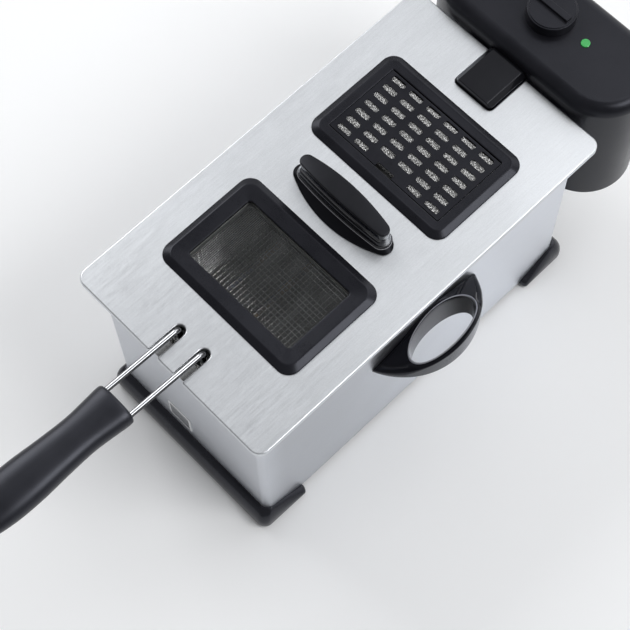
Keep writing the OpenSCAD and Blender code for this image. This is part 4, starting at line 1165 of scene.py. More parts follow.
@dataclass(frozen=True)
class LidFrame:
    """Moulded frame on the lid: a chamfered band rises to a ridge, and an inner face slopes to the opening.

    Attributes:
        half_x, half_y: half its width and length.
        middle: y of its middle.
        open_x, open_y, open_corner: half the opening's width and length, and its corners.
        drop: how far the inner face slopes down.
        floor: height at which the opening's wall ends.
        height, corner, ridge: its height over the lid, its corners, and the ridge's distance from its edge.
    """

    half_x: float
    half_y: float
    middle: float
    open_x: float
    open_y: float
    open_corner: float
    drop: float
    floor: float
    height: float = 4.0
    corner: float = 12.0
    ridge: float = 6.2

    def face_rows(self) -> list[np.ndarray]:
        """Rings of the upper face, from the lid to the opening's floor."""
        top, low, peak = LID_TOP + self.height, LID_TOP + self.height - self.drop, self.ridge
        wide = self.half_x - self.open_x
        marks = [(0.5, LID_TOP - 0.02), (0.0, LID_TOP + 0.35), (0.12, LID_TOP + 0.9), (0.5, LID_TOP + 1.35)]
        marks += [(peak - 1.2, top - 0.35), (peak - 0.4, top - 0.06), (peak, top), (peak + 0.5, top - 0.04)]
        marks += [(peak + 1.3, top - 0.16), (wide - 1.0, low + 0.12), (wide - 0.45, low - 0.02)]
        marks += [(wide - 0.12, low - 0.25), (wide, low - 0.6), (wide, self.floor)]
        rows = []
        for inset, z in marks:
            share = inset / wide
            along = self.half_y - share * (self.half_y - self.open_y)
            radius = self.corner + share * (self.open_corner - self.corner)
            rows.append(level(rounded_rectangle(self.half_x - inset, along, radius, self.middle, 12), z))
        return rows

    def ring(self, name: str, under: Sequence[tuple[float, float, float]]) -> bpy.types.Mesh:
        """The whole frame as one closed ring.

        Args:
            name: name of the mesh.
            under: rings of the neck through the lid: half the width, half the length and the height of each.

        Returns:
            The mesh.
        """
        neck = [level(rounded_rectangle(x, y, 6.0, self.middle, 12), z) for x, y, z in under]
        return ringed(name, self.face_rows() + neck, loop=True)


@dataclass(frozen=True)
class Window:
    """Window of the lid: its frame, its pane and what holds them."""

    frame: LidFrame = LidFrame(75.0, 51.25, 110.0, 57.0, 33.5, 3.2, 1.5, 215.05)
    under: tuple[tuple[float, float, float], ...] = (
        (61.4, 37.9, 215.0), (61.4, 37.9, 210.0), (64.2, 40.7, 210.0), (64.2, 40.7, 215.98)
    )
    pane: tuple[float, float] = (61.2, 37.7)
    pane_corner: float = 5.0
    pane_top: float = 214.0
    pane_floor: float = 210.0
    ground: float = 0.6

    def glazing(self) -> bpy.types.Mesh:
        """Flat pane with ground edges: rings of a rounded rectangle, drawn in at both faces."""
        low, high, cut = self.pane_floor, self.pane_top, self.ground
        marks = [(cut, low), (0.0, low + cut), (0.0, high - cut), (cut, high)]
        shell = Shell()
        shell.loft(np.stack(rectangle_rings(self.pane, self.pane_corner, self.frame.middle, marks)))
        return shell.mesh("window_pane")

    def build(self) -> None:
        """Makes the frame and the pane, and dresses the seal."""
        mesh = self.frame.ring("window_surround", self.under)
        place_piece(mesh, "window_frame", Body.LID, FRAME_BLACK, Edge(0.0, 60.0))
        place_piece(self.glazing(), "window_glass", Body.LID, CLEAR_GLASS)
        dress(SEAL_RUBBER, "window_seal")


@dataclass(frozen=True)
class Filter:
    """Filter of the lid: its frame, the slotted cover, the knitted mesh under it and the charcoal foam."""

    frame: LidFrame = LidFrame(74.75, 50.9, 272.5, 61.2, 37.2, 1.2, 0.25, 211.5)
    under: tuple[tuple[float, float, float], ...] = (
        (56.2, 32.2, 211.5), (56.2, 32.2, 210.0), (64.1, 40.1, 210.0), (64.1, 40.1, 215.98)
    )
    knit_x: float = 61.0
    knit_y: float = 33.0
    knit_low: float = 214.1
    knit_top: float = 218.7
    knit_pitch: float = 2.2
    knit_relief: float = 0.6
    cover_under: float = 218.9
    cover_field: tuple[float, float] = (58.5, 34.2)
    cover_corner: float = 4.0

    def knit(self) -> bpy.types.Mesh:
        """Knitted mesh: height is the lesser of two slanting rows of waves, made uneven by slower waves."""
        across = np.linspace(-self.knit_x, self.knit_x, 236)
        x, y = np.meshgrid(across, np.linspace(-self.knit_y, self.knit_y, 144))
        wave = 0.5 * TURN / self.knit_pitch
        stray = 1.6 * np.sin(0.31 * x + 0.7 * np.sin(0.23 * y))
        stray = stray + 1.3 * np.sin(0.27 * y + 0.9 * np.sin(0.37 * x))
        first = np.abs(np.sin(wave * (x + 0.6 * y) + stray))
        second = np.abs(np.sin(wave * (1.1 * y - 0.5 * x) - stray))
        z = self.knit_top + self.knit_relief * (1.0 - np.minimum(first, second)) ** 2 - self.knit_relief
        shell = Shell()
        net = shell.grid(np.stack([x, y + self.frame.middle, z], axis=-1), ring=False)
        border = np.concatenate([net[0, :-1], net[:-1, -1], net[-1, :0:-1], net[:0:-1, 0]])
        foot = shell.add(level(np.concatenate(shell.points)[border, :2], self.knit_low))
        shell.faces.append(np.stack([border, foot, np.roll(foot, -1), np.roll(border, -1)], axis=-1))
        shell.lid(foot)
        return shell.mesh("knitted_mesh")

    def cover(self) -> bpy.types.Mesh:
        """The cover's own surface, hollowed and with blunter corners.

        Under its slots, points below a level are raised to it. Points beyond a corner's arc are drawn back.
        """
        mesh = softened("filter_cover")
        place = np.empty(3 * len(mesh.vertices))
        mesh.vertices.foreach_get("co", place)
        place = place.reshape(-1, 3)
        middle = metres(np.array([0.0, self.frame.middle, self.cover_under]))
        field_x, field_y = (MM * half for half in self.cover_field)
        inside = (np.abs(place[:, 0]) < field_x) & (np.abs(place[:, 1] - middle[1]) < field_y)
        place[:, 2] = np.where(inside, np.maximum(place[:, 2], middle[2]), place[:, 2])
        radius, flat = self.cover_corner * MM, place[:, :2] - middle[:2]
        beyond = np.maximum(np.abs(flat) - np.abs(flat).max(axis=0) + radius, 0.0)
        away = np.maximum(np.linalg.norm(beyond, axis=1, keepdims=True), 1e-9)
        place[:, :2] += np.sign(flat) * beyond * np.minimum(radius / away - 1.0, 0.0)
        mesh.vertices.foreach_set("co", place.ravel())
        mesh.update()
        return mesh

    def build(self) -> None:
        """Makes the frame, the cover and the mesh, and dresses the foam."""
        mesh = self.frame.ring("filter_surround", self.under)
        place_piece(mesh, "filter_frame", Body.LID, FRAME_BLACK, Edge(0.0, 60.0))
        place_piece(self.cover(), "filter_cover", Body.COVER, COVER_BLACK, Edge(0.45, 35.0))
        place_piece(self.knit(), "mesh_filter", Body.LID, KNIT, Edge(0.0, 80.0))
        dress(CHARCOAL, "charcoal_filter")


@dataclass(frozen=True)
class LidHandle:
    """Bow-shaped lid handle: a flange on the lid, a body on a low plinth, a finger groove, and a cap."""

    middle: float = 192.5
    flange: tuple[float, float, float] = (53.3, 19.0, 7.3)
    shift: float = -1.5
    plinth: tuple[float, float, float] = (49.8, 10.6, 8.4)
    foot: tuple[float, float, float] = (49.0, 10.1, 7.8)
    foot_z: float = 5.4
    cap_size: tuple[float, float, float] = (47.9, 8.9, 5.8)
    neck: float = 0.6
    cap_thick: float = 3.0
    height: float = 28.6
    rise: float = 5.0
    bulge: float = 1.5
    groove_half: float = 36.5
    groove_depth: float = 1.9
    groove_fade: float = 2.2

    def ring(self, size: tuple[float, float, float], inset: float = 0.0) -> np.ndarray:
        """Oval of a given half length, half width and end radius, drawn in by an inset."""
        half_x, half_y, end = (value - inset for value in size)
        return blunt_oval(half_x, half_y, max(end, 0.45 * half_y))

    def crown(self, x: np.ndarray) -> np.ndarray:
        """Height of the cap's top over the lid: a circle's arc that falls by the rise at the cap's ends."""
        radius = (self.cap_size[0] ** 2 + self.rise**2) / (2 * self.rise)
        return self.height - radius + np.sqrt(radius**2 - np.minimum(x**2, radius**2 * 0.99))

    def body(self) -> bpy.types.Mesh:
        """Flange, plinth and body.

        The body's ovals pass evenly from the plinth's to the cap's, swollen by half a sine wave in between.
        The groove is cut into both sides below the cap, and fades out at its ends.
        """
        rows = []
        for inset, z in ((0.6, 0.0), (0.0, 0.4), (0.0, 1.4), (0.3, 1.8), (1.0, 2.0)):
            rows.append(level(self.ring(self.flange, inset) + np.array([0.0, self.shift]), z))
        for inset, z in ((-0.7, 3.4), (0.0, 3.6), (0.2, 4.0), (0.6, 4.3)):
            rows.append(level(self.ring(self.plinth, inset), z))
        low, foot, high = self.foot_z, self.ring(self.foot), self.ring(self.cap_size, self.neck)
        top = self.crown(high[:, 0]) - self.cap_thick
        fade = np.clip((self.groove_half - np.abs(high[:, 0])) / self.groove_fade, 0.0, 1.0)
        deep = np.sign(high[:, 1]) * self.groove_depth * fade**2 * (3 - 2 * fade)
        cut = np.stack([np.zeros(len(high)), deep], axis=-1)
        rows += [level(self.ring(self.foot, -0.7), low - 0.6), level(self.ring(self.foot, -0.2), low - 0.1)]
        for t in np.linspace(0.03, 1.0, 14):
            swell = np.array([1.0, 1.0 + self.bulge / 9.0 * math.sin(math.pi * t**1.6)])
            rows.append(level((foot + t * (high - foot)) * swell, low + t * (top - 7.9 - low)))
        for share, down in ((0.25, 7.75), (1.0, 7.5), (1.0, 6.2), (0.2, 6.0), (0.0, 5.9), (0.0, 0.1)):
            rows.append(level(high - share * cut, top - down))
        spine = self.ring(self.cap_size, 8.0) * np.array([1.0, 0.0])
        rows.append(level(self.ring(self.cap_size, 3.0), top))
        rows.append(level(spine, self.crown(spine[:, 0]) - self.cap_thick))
        shell = Shell()
        index = shell.grid(np.stack([row + np.array([0.0, self.middle, LID_TOP]) for row in rows]))
        shell.lid(index[0][::-1])
        return shell.mesh("lid_handle_body")

    def cap(self) -> bpy.types.Mesh:
        """Cap: ovals that follow the crown; the first and last shrink to a line, which closes it."""
        spine = 8.0
        marks = [(spine, 3.0), (4.0, 3.0), (0.9, 3.0), (0.25, 2.75), (0.0, 2.3), (0.0, 1.0), (0.12, 0.6)]
        marks += [(0.4, 0.32), (0.9, 0.16), (2.0, 0.08), (3.6, 0.03), (5.6, 0.0), (spine, -0.02)]
        rows = []
        for inset, down in marks:
            ring = self.ring(self.cap_size, inset) * np.array([1.0, float(inset < spine)])
            z = LID_TOP + self.crown(ring[:, 0]) - down - 0.05
            rows.append(level(ring + np.array([0.0, self.middle]), z))
        return ringed("lid_handle_top", rows)

    def build(self) -> None:
        """Makes the handle's two mouldings."""
        place_piece(self.body(), "lid_handle", Body.LID, BODY_BLACK, Edge(0.0, 50.0))
        place_piece(self.cap(), "lid_handle_cap", Body.LID, CAP_BLACK, Edge(0.0, 60.0))


# ---------------------------------------------------------------- casing


@dataclass(frozen=True)
class Casing:
    """Steel casing with its floor, rubber pads, screws, rails and front plate."""

    half_y: float = 179.1
    low: float = 6.5
    top: float = 211.0
    sheet: float = 1.0
    lip: float = 3.0
    ledge: float = 14.0

    def wrap(self) -> bpy.types.Mesh:
        """Folded sheet: a rounded rectangle carried round the sheet's section, with both edges turned in."""
        low, top, sheet, lip, ledge = self.low, self.top, self.sheet, self.lip, self.ledge
        marks = [(0.0, low + 0.5), (0.0, top - 0.5), (0.15, top - 0.12), (0.6, top), (lip, top)]
        marks += [(lip, top - sheet), (sheet, top - sheet), (sheet, low + sheet), (ledge, low + sheet)]
        marks += [(ledge, low), (0.5, low)]
        rings = rectangle_rings((CASE_HALF, self.half_y), CASE_CORNER, CASE_MIDDLE, marks, 13)
        return ringed("casing_wrap", rings, loop=True)

    def build(self) -> None:
        """Makes the wrap and dresses what is fixed to it."""
        place_piece(self.wrap(), "casing", Body.CASING, CASING_STEEL, Edge(0.0, 50.0))
        soften(Body.CASING, PLATE_STEEL, Edge(0.25), "name_plate")
        soften(Body.CASING, DARK_PLASTIC, Edge(0.2), "base_plate")
        soften(Body.CASING, DARK_PLASTIC, Edge(0.4), "guide_rails")
        soften(Body.CASING, PAD_RUBBER, Edge(0.5), "foot_pads")
        dress(ZINC, "base_screws", "casing_screws")


@dataclass(frozen=True)
class Foot:
    """Moulded foot that wraps one end of the casing and tapers along its sides."""

    name: str
    node: str
    height: float
    rear: bool
    case_front: float = 11.2
    out_side: float = 6.6
    out_end: float = 10.4
    blunt: float = 1.5
    floor: float = 2.0
    reach: float = 41.5
    tip: float = 7.0

    def stations(self) -> tuple[np.ndarray, np.ndarray, np.ndarray]:
        """Places along the side, from the tip to the corner.

        Returns:
            Distance of each from the casing's end, the foot's height there, and the share its outer face has.
        """
        far = self.reach - np.linspace(0.0, 1.0, 26) ** 1.5 * (self.reach - CASE_CORNER)
        knots = [0.0, 3.0, 0.38 * self.reach, 0.68 * self.reach, self.reach - 4.0, self.reach]
        shares = np.array([1.0, 0.98, 0.68, 0.30, 0.06, 0.0])
        high = self.tip + shares * (self.height - self.tip)
        close = np.clip((self.reach - far) / 3.6, 0.0, 1.0)
        return far, eased(knots, high, far), np.maximum(np.sqrt(1.0 - (1.0 - close) ** 2), 0.04)

    def wall(self) -> bpy.types.Mesh:
        """The foot: its section is carried from one tip round the casing's end to the other.

        The section is a wall outside the casing with a round outer edge and a flange below it. Its height
        follows the taper, and both are drawn in to a round end at the tips. Round a corner the outline is
        an arc.
        """
        far, high, drawn = self.stations()
        arc = np.linspace(0.0, QUARTER, 12)[1:-1]
        outside = [(-0.06, 1.0), (0.16, 0.99), (0.4, 0.93), (0.64, 0.82), (0.82, 0.68), (0.94, 0.52)]
        outside += [(1.0, 0.36), (1.0, 0.14), (0.95, 0.04), (0.86, 0.0)]
        marks = [(-15.0, 3.0, False), (-0.06, 3.0, False), *[(*mark, True) for mark in outside]]
        marks.append((-15.0, 0.0, False))
        pull = np.concatenate([drawn, np.ones(len(arc) + 2)])
        rise = np.concatenate([high, np.full(len(arc) + 2, self.height)])
        columns = []
        for share, tall, varies in marks:
            side, end = (share * self.out_side, share * self.out_end) if share > 0 else (share, share)
            radius = CASE_CORNER + max(share, 0.0) * self.blunt
            hub = np.array([CASE_HALF + side - radius, self.case_front - end + radius])
            side_x = CASE_HALF + (side * drawn if share > 0 else np.full(len(far), side))
            straight = np.stack([side_x, np.maximum(self.case_front + far, hub[1])], axis=-1)
            bend = hub + radius * np.stack([np.cos(arc), -np.sin(arc)], axis=-1)
            front = np.array([[hub[0], hub[1] - radius], [0.0, hub[1] - radius]])
            half = np.concatenate([straight, bend, front])
            tapered = tall * rise * pull + 0.5 * self.tip * (1 - pull)
            z = self.floor + (tapered if varies else np.full(len(rise), tall))
            whole = np.concatenate([half, half[-2::-1] * np.array([-1.0, 1.0])])
            columns.append(level(whole, np.concatenate([z, z[-2::-1]])))
        net = np.stack(columns)
        if self.rear:
            net[..., 1] = 2 * CASE_MIDDLE - net[..., 1]
        shell = Shell()
        index = shell.grid(net.transpose(1, 0, 2))
        shell.lid(index[0])
        shell.lid(index[-1][::-1])
        return shell.mesh(self.name)

    def build(self) -> None:
        """Makes the foot."""
        place_piece(self.wall(), self.node, Body.CASING, SATIN_BLACK, Edge(0.0, 55.0))


@dataclass(frozen=True)
class SideHandle:
    """D-shaped side handle with an oval finger hole and a raised lip round it."""

    name: str
    node: str
    side: float
    middle: float = 195.5
    half_length: float = 60.5
    out: float = 40.0
    top: float = 155.0
    bow: tuple[float, ...] = (14.05, -13.9, -10.8, -3.9)
    thick: float = 27.0
    hole_x: float = 111.0
    hole_half_x: float = 15.9
    hole_half_y: float = 34.6
    lip: float = 1.5
    outermost: float = 20.62
    shoulder: float = 9.0

    def rays(self) -> tuple[np.ndarray, np.ndarray]:
        """Directions from the hole's middle, through both tips too, and the distance to the outline.

        The outline is the nearer of the round outer edge and the casing's flat side.
        """
        radius = (self.half_length**2 + self.out**2) / (2 * self.out)
        centre = CASE_HALF + self.out - radius - self.hole_x
        tip = math.atan2(self.half_length, CASE_HALF - self.hole_x)
        angle = np.concatenate([np.linspace(-tip, tip, 85), np.linspace(tip, TURN - tip, 40)[1:-1]])
        c, s = np.cos(angle), np.sin(angle)
        reach = centre * c + np.sqrt(np.maximum(radius**2 - (centre * s) ** 2, 0.0))
        flat = np.where(c < -1e-6, (CASE_HALF - self.hole_x) / np.minimum(c, -1e-6), 1e6)
        return np.stack([c, s], axis=-1), np.minimum(reach, flat)

    def crown(self, y: np.ndarray) -> np.ndarray:
        """Height of the top face: a bow of the fourth degree in y."""
        u = np.clip(y / self.half_length, -1.0, 1.0)
        z = np.full(len(u), self.top)
        for power, share in enumerate(self.bow, 1):
            z = z + share * u**power
        return z

    def moulding(self) -> bpy.types.Mesh:
        """The handle: each ring of points lies between the hole and the outline.

        A ring is the hole's oval grown outwards, or the outline drawn inwards where there is room for it.
        """
        ray, limit = self.rays()
        low = self.top - self.thick

        def hole(grow: float, slant: float = 0.0) -> np.ndarray:
            """Oval of the hole, grown by a width, and drawn off the casing towards its foot."""
            a, b = self.hole_half_x + grow - slant / 2, self.hole_half_y + grow - slant / 3
            r = 1.0 / np.sqrt((ray[:, 0] / a) ** 2 + (ray[:, 1] / b) ** 2)
            return ray * r[:, None] + np.array([slant / 2, 0.0])

        room = limit - np.linalg.norm(hole(self.lip + 0.5), axis=1)
        soft = np.clip((room - 1.2) / 8.0, 0.0, 1.0)

        def rim(inset: float) -> np.ndarray:
            """Outline drawn inwards by a width, or by less where the moulding is narrow."""
            return ray * (limit - np.minimum(inset * soft, np.maximum(room - 0.3, 0.0)))[:, None]

        lift = np.maximum(self.crown(hole(self.lip)[:, 1]), low + 3.0)
        edge = self.crown(limit * ray[:, 1])
        rows = [level(hole(0.9, 4.4), low), level(hole(0.2, 4.0), low + 0.8)]
        rows.append(level(hole(0.0, 1.0), lift - 4.0))
        lip_section = [(0.0, 0.5), (0.15, 1.05), (0.5, 1.4), (0.9, 1.4), (1.3, 1.05), (self.lip, 0.5)]
        for grow, up in [*lip_section, (self.lip + 0.05, -0.2), (self.lip + 0.6, -0.1)]:
            rows.append(level(hole(grow), lift + up))
        rows.append(level(rim(self.shoulder), self.crown(rim(self.shoulder)[:, 1])))
        curve = ((6.5, 0.25), (4.2, 1.0), (2.4, 2.3), (1.1, 4.0), (0.3, 6.4), (0.0, self.shoulder))
        for inset, down in curve:
            z = edge - down * soft * np.minimum(1.0, (edge - low - 2.5) / 12.0)
            rows.append(level(rim(inset), np.maximum(z, low + 1.4)))
        rows += [level(rim(inset), low + up) for inset, up in ((0.0, 1.2), (0.4, 0.4), (1.2, 0.0))]
        net = np.stack(rows)
        net[..., 0] = np.minimum(net[..., 0] + self.hole_x, self.hole_x + self.outermost) * self.side
        net[..., 1] += self.middle
        return ringed(self.name, net, loop=True)

    def build(self) -> None:
        """Makes the handle."""
        centre = tuple(metres(np.array([self.hole_x, self.middle, self.top])) / MM)
        # painted highlight: a pale line is painted round the lip of the finger hole.
        half, band = (self.hole_half_x, self.hole_half_y), (0.35, self.lip - 0.3)
        finish = LippedPlastic(
            "lipped_black", "black_plastic", DEEP, SATIN_BLACK.rough, texture=0.8, depth=0.008, shine=0.10,
            coat=1.0, centre=centre, half=half, band=band
        )
        place_piece(self.moulding(), self.node, Body.CASING, finish, Edge(0.0, 55.0))


# ---------------------------------------------------------------- pot and basket


@dataclass(frozen=True)
class Basket:
    """Frying basket: rim and rib wires, a woven net, and the sockets for the handle."""

    half_x: float = 75.9
    half_y: float = 143.9
    middle: float = 181.5
    corner: float = 14.0
    low: float = 105.9
    high: float = 197.5
    pitch: float = 4.2
    wire: float = 0.42

    def floor_wires(self, shell: Shell, turned: bool, z: float) -> None:
        """Adds the floor's wires of one direction, which end at the straight side or the round corner.

        Args:
            shell: surface that gets them.
            turned: they run across instead of along.
            z: their height.
        """
        half, other = (self.half_y, self.half_x) if turned else (self.half_x, self.half_y)
        steps = int(half / self.pitch)
        at = np.arange(-steps, steps + 1) * self.pitch
        beyond = np.maximum(np.abs(at) - (half - self.corner), 0.0)
        reach = other - self.corner + np.sqrt(np.maximum(self.corner**2 - beyond**2, 0.0))
        pair = []
        for end in (-reach, reach):
            flat = np.stack([end, at] if turned else [at, end], axis=-1)
            pair.append(level(flat + np.array([0.0, self.middle]), z))
        shell.bars(*pair, self.wire)

    def net(self) -> bpy.types.Mesh:
        """Woven net: wires over the floor, upright wires at even steps of the outline, and level hoops."""
        shell = Shell()
        self.floor_wires(shell, False, self.low)
        self.floor_wires(shell, True, self.low + 1.6 * self.wire)
        line = rounded_rectangle(self.half_x, self.half_y, self.corner, self.middle, 8)
        closed = np.concatenate([line, line[:1]])
        length = np.concatenate([[0.0], np.cumsum(np.linalg.norm(np.diff(closed, axis=0), axis=1))])
        at = np.linspace(0.0, length[-1], int(length[-1] / self.pitch), endpoint=False)
        posts = np.stack([np.interp(at, length, closed[:, 0]), np.interp(at, length, closed[:, 1])], axis=-1)
        shell.bars(level(posts, self.low), level(posts, self.high), self.wire)
        for z in np.arange(self.low + self.pitch, self.high, self.pitch):
            shell.tube(level(line * np.array([0.994, 1.0]), z), self.wire, 5, closed=True)
        return shell.mesh("basket_net")

    def build(self) -> None:
        """Makes the net and smooths the wires and sockets."""
        place_piece(self.net(), "basket_mesh", Body.BASKET, BRIGHT_WIRE, Edge(0.0, 60.0))
        soften(Body.BASKET, BRIGHT_WIRE, Edge(0.0, 50.0), "basket_frame")
        soften(Body.BASKET, PLAIN_STEEL, Edge(0.2), "handle_sockets")
        soften(Body.POT, POT_STEEL, Edge(0.3), "oil_pot")


@dataclass(frozen=True)
class BasketHandle:
    """Basket handle: two bent wires that plug into the basket, and a broad grip."""

    wire: float = 2.4
    bend: float = 5.0
    tilt: float = math.radians(3.5)
    wire_y: float = 28.0
    plug_z: float = 156.2
    over: float = 1.0
    free: float = 70.0
    inside: float = 36.0
    length: float = 138.0
    stations: tuple[float, ...] = (0, 4, 14, 34, 62, 92, 118, 130, 138)
    widths: tuple[float, ...] = (38.4, 39.0, 37.6, 34.4, 36.0, 39.6, 38.6, 35.6, 31.0)
    depths: tuple[float, ...] = (20.0, 21.0, 20.8, 20.6, 22.0, 24.0, 22.6, 19.6, 15.0)
    nose: float = 2.4
    tail: float = 8.0
    end: float = 10.0

    @property
    def bend_z(self) -> float:
        """Height at which the bend of the wires begins."""
        return LID_TOP + self.over + self.wire - self.bend

    def round_bend(self, angle: float | np.ndarray) -> tuple[float | np.ndarray, float | np.ndarray]:
        """y and z on the bend at an angle."""
        return self.wire_y - self.bend + self.bend * np.cos(angle), self.bend_z + self.bend * np.sin(angle)

    def axis(self) -> tuple[np.ndarray, np.ndarray, np.ndarray]:
        """Where the grip starts, the direction it runs in, and its upward direction."""
        start = np.array([0.0, *self.round_bend(QUARTER - self.tilt)])
        along = np.array([0.0, -math.cos(self.tilt), math.sin(self.tilt)])
        return start + self.free * along, along, np.array([0.0, math.sin(self.tilt), math.cos(self.tilt)])

    def path(self, side: float) -> np.ndarray:
        """One wire: up from its plug, round the bend, and out along the slope to the grip."""
        start, along, _ = self.axis()
        up = np.stack([np.zeros(8), np.full(8, self.wire_y), np.linspace(self.plug_z, self.bend_z, 8)], -1)
        arc = np.stack([np.zeros(11), *self.round_bend(np.linspace(0.0, QUARTER - self.tilt, 12)[1:])], -1)
        run = start - self.free * along + along * np.linspace(4.0, self.free + self.inside, 24)[:, None]
        return np.concatenate([up, arc, run]) + np.array([side * WIRE_X, 0.0, 0.0])

    def wires(self) -> bpy.types.Mesh:
        """Both wires as round tubes along their paths."""
        shell = Shell()
        for side in (-1.0, 1.0):
            shell.tube(self.path(side), self.wire, 20)
        return shell.mesh("handle_wire_pair")

    def grip(self) -> bpy.types.Mesh:
        """Grip: rounded sections, each a power curve, whose width and depth ease along the grip."""
        start, along, up = self.axis()
        close = self.length - self.end * (1.0 - np.sin(np.linspace(0.15, QUARTER, 9)))
        t = np.concatenate([np.linspace(0.0, 3.0, 6), np.linspace(5.0, self.length - self.end, 40), close])
        nose = np.clip(self.nose - t, 0.0, self.nose) / self.nose
        tail = np.clip(t - (self.length - self.tail), 0.0, self.tail) / (self.tail + 0.05)
        shrink = 2.4 * (1.0 - np.sqrt(np.clip(1.0 - nose**2, 0.02, 1.0)))
        shrink = shrink + 7.0 * (1.0 - np.sqrt(np.clip(1.0 - tail**2, 0.0, 1.0)))
        half_w = np.maximum(eased(self.stations, self.widths, t) / 2 - shrink, 0.5)
        half_h = np.maximum(eased(self.stations, self.depths, t) / 2 - shrink * 0.9, 0.4)
        angle = np.arange(72) * TURN / 72
        c, s = np.cos(angle), np.sin(angle)
        above = np.sign(s) * np.abs(s) ** 0.86
        rows = start + t[:, None, None] * along + (half_h[:, None] * above)[..., None] * up
        rows[..., 0] += half_w[:, None] * (np.sign(c) * np.abs(c) ** 0.8)
        shell = Shell()
        shell.loft(rows)
        return shell.mesh("handle_grip_cover")

    def build(self) -> None:
        """Makes the wires and the grip."""
        place_piece(self.wires(), "handle_wires", Body.HANDLE, CHROME, Edge(0.0, 60.0))
        place_piece(self.grip(), "handle_grip", Body.HANDLE, SOFT_TOUCH, Edge(0.0, 60.0))


# ---------------------------------------------------------------- control unit


@dataclass(frozen=True)
class ControlUnit:
    """Rear control unit with its bridge, dial, lamps, reset button and heating element."""

    def build(self) -> None:
        """Rounds the housing's pieces and dresses those inside it."""
        soften(Body.CONTROL, HOUSING_BLACK, Edge(0.4), "control_housing", "control_back")
        soften(Body.CONTROL, HOUSING_BLACK, Edge(0.3), "control_base")
        soften(Body.CONTROL, HOUSING_BLACK, Edge(0.5), "cord_gland")
        soften(Body.CONTROL, GLOSS_BLACK, Edge(0.8), "control_bridge")
        soften(Body.CONTROL, RED_LENS, Edge(0.5), "power_lamp")
        soften(Body.CONTROL, GREEN_LENS, Edge(0.5), "heat_lamp")
        soften(Body.CONTROL, TUBE, Edge(0.0, 50.0), "heating_element")
        soften(Body.CONTROL, PLAIN_STEEL, Edge(0.2), "element_bracket")
        soften(Body.CONTROL, CHROME, Edge(0.0, 50.0), "thermostat_bulb")
        soften(Body.DIAL, HOUSING_BLACK, Edge(0.5), "thermostat_dial")
        soften(Body.RESET, RED_LENS, Edge(0.4), "reset_button")
        dress(DARK_PLASTIC, "thermostat_body", "terminal_block", "safety_switch", "thermal_cutout")
        dress(ZINC, "control_screws")


# ---------------------------------------------------------------- studio


@dataclass(frozen=True)
class SoftBox:
    """One square soft box that faces the fryer, in metres and watts."""

    name: str
    place: tuple[float, float, float]
    size: float
    power: float
    target: tuple[float, float, float] = (0.0, 0.0, 0.15)

    def build(self) -> None:
        """Hangs the box and turns it to its target."""
        data = bpy.data.lights.new(self.name, "AREA")
        data.shape = "SQUARE"
        data.size = self.size
        data.energy = self.power
        thing = linked(self.name, data)
        thing.location = self.place
        facing = Vector(self.target) - Vector(self.place)
        thing.rotation_euler = facing.to_track_quat("-Z", "Y").to_euler()


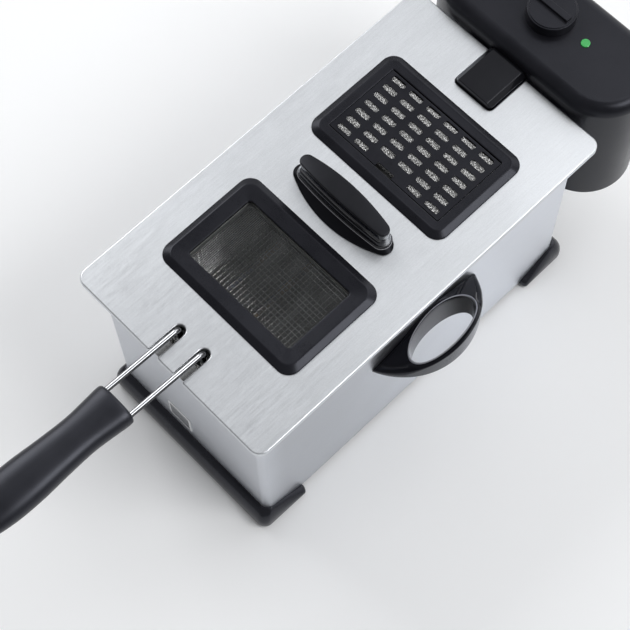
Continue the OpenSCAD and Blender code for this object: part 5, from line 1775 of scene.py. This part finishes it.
@dataclass(frozen=True)
class Studio:
    """Pale floor, soft boxes and the camera."""

    eye: tuple[float, float, float] = (0.42708, -0.37874, 1.42152)
    right: tuple[float, float, float] = (0.69657, 0.71741, -0.01114)
    up: tuple[float, float, float] = (-0.65720, 0.64419, 0.39130)
    back: tuple[float, float, float] = (0.28789, -0.26524, 0.92020)
    lens: float = 96.837
    sensor: float = 36.0
    ambient: tuple[float, float] = (0.28, 0.82)
    floor_half: float = 6000.0
    floor_flat: float = 4500.0
    boxes: tuple[SoftBox, ...] = (
        SoftBox("right_box", (1.75, 0.8, 2.4), 1.3, 33.0),
        SoftBox("rear_box", (-0.1, 1.45, 2.4), 0.9, 5.0),
        SoftBox("left_box", (-2.2, 0.2, 1.8), 1.6, 31.0),
        SoftBox("rear_wall", (0.0, 3.0, 1.6), 2.4, 14.0),
    )

    def camera(self) -> None:
        """Camera with its three axes as the columns of its turn."""
        data = bpy.data.cameras.new("camera")
        data.lens = self.lens
        data.sensor_width = self.sensor
        thing = linked("camera", data)
        turn = Matrix((self.right, self.up, self.back)).transposed().to_4x4()
        thing.matrix_world = Matrix.Translation(self.eye) @ turn
        bpy.context.scene.camera = thing

    def world(self) -> None:
        """Grey light whose strength rises evenly from the front to the rear."""
        world = bpy.data.worlds.new("studio")
        bpy.context.scene.world = world
        graph = Graph(world)
        rearward = graph.axes(graph.node("ShaderNodeTexCoord").outputs["Object"])[1]
        strength = rearward.ramp(-0.2, 0.75, *self.ambient)
        light = graph.node("ShaderNodeBackground", None, {"Color": (0.97, 0.98, 1.0), "Strength": strength})
        graph.node("ShaderNodeOutputWorld", None, {0: light.outputs[0]})

    def floor(self) -> None:
        """Wide floor, a grid that rises into a curved backdrop far off."""
        steps = np.linspace(-self.floor_half, self.floor_half, 33)
        x, y = np.meshgrid(steps, steps)
        far = np.maximum(np.hypot(x, y) - self.floor_flat, 0.0)
        shell = Shell()
        shell.grid(np.stack([x, y, far**2 / self.floor_half], axis=-1), ring=False)
        mesh = shell.mesh("studio_floor")
        mesh.materials.append(FLOOR.material())
        thing = linked("studio_floor", mesh)

    def build(self) -> None:
        """Sets up the studio."""
        bpy.context.scene.view_settings.view_transform = "Standard"
        self.camera()
        self.world()
        self.floor()
        for box in self.boxes:
            box.build()


def main() -> None:
    """Builds every sub-assembly in order."""
    logging.basicConfig(level=logging.INFO, format="%(name)s: %(message)s")
    parts = [
        Studio(),
        LidShell(),
        Window(),
        Filter(),
        LidHandle(),
        Casing(),
        Foot("front_foot_skin", "front_foot", 22.0, False),
        Foot("rear_foot_skin", "rear_foot", 26.0, True),
        SideHandle("right_side_handle", "right_handle", 1.0),
        SideHandle("left_side_handle", "left_handle", -1.0),
        Basket(),
        BasketHandle(),
        ControlUnit(),
    ]
    for part in parts:
        part.build()


if __name__ == "__main__":
    main()
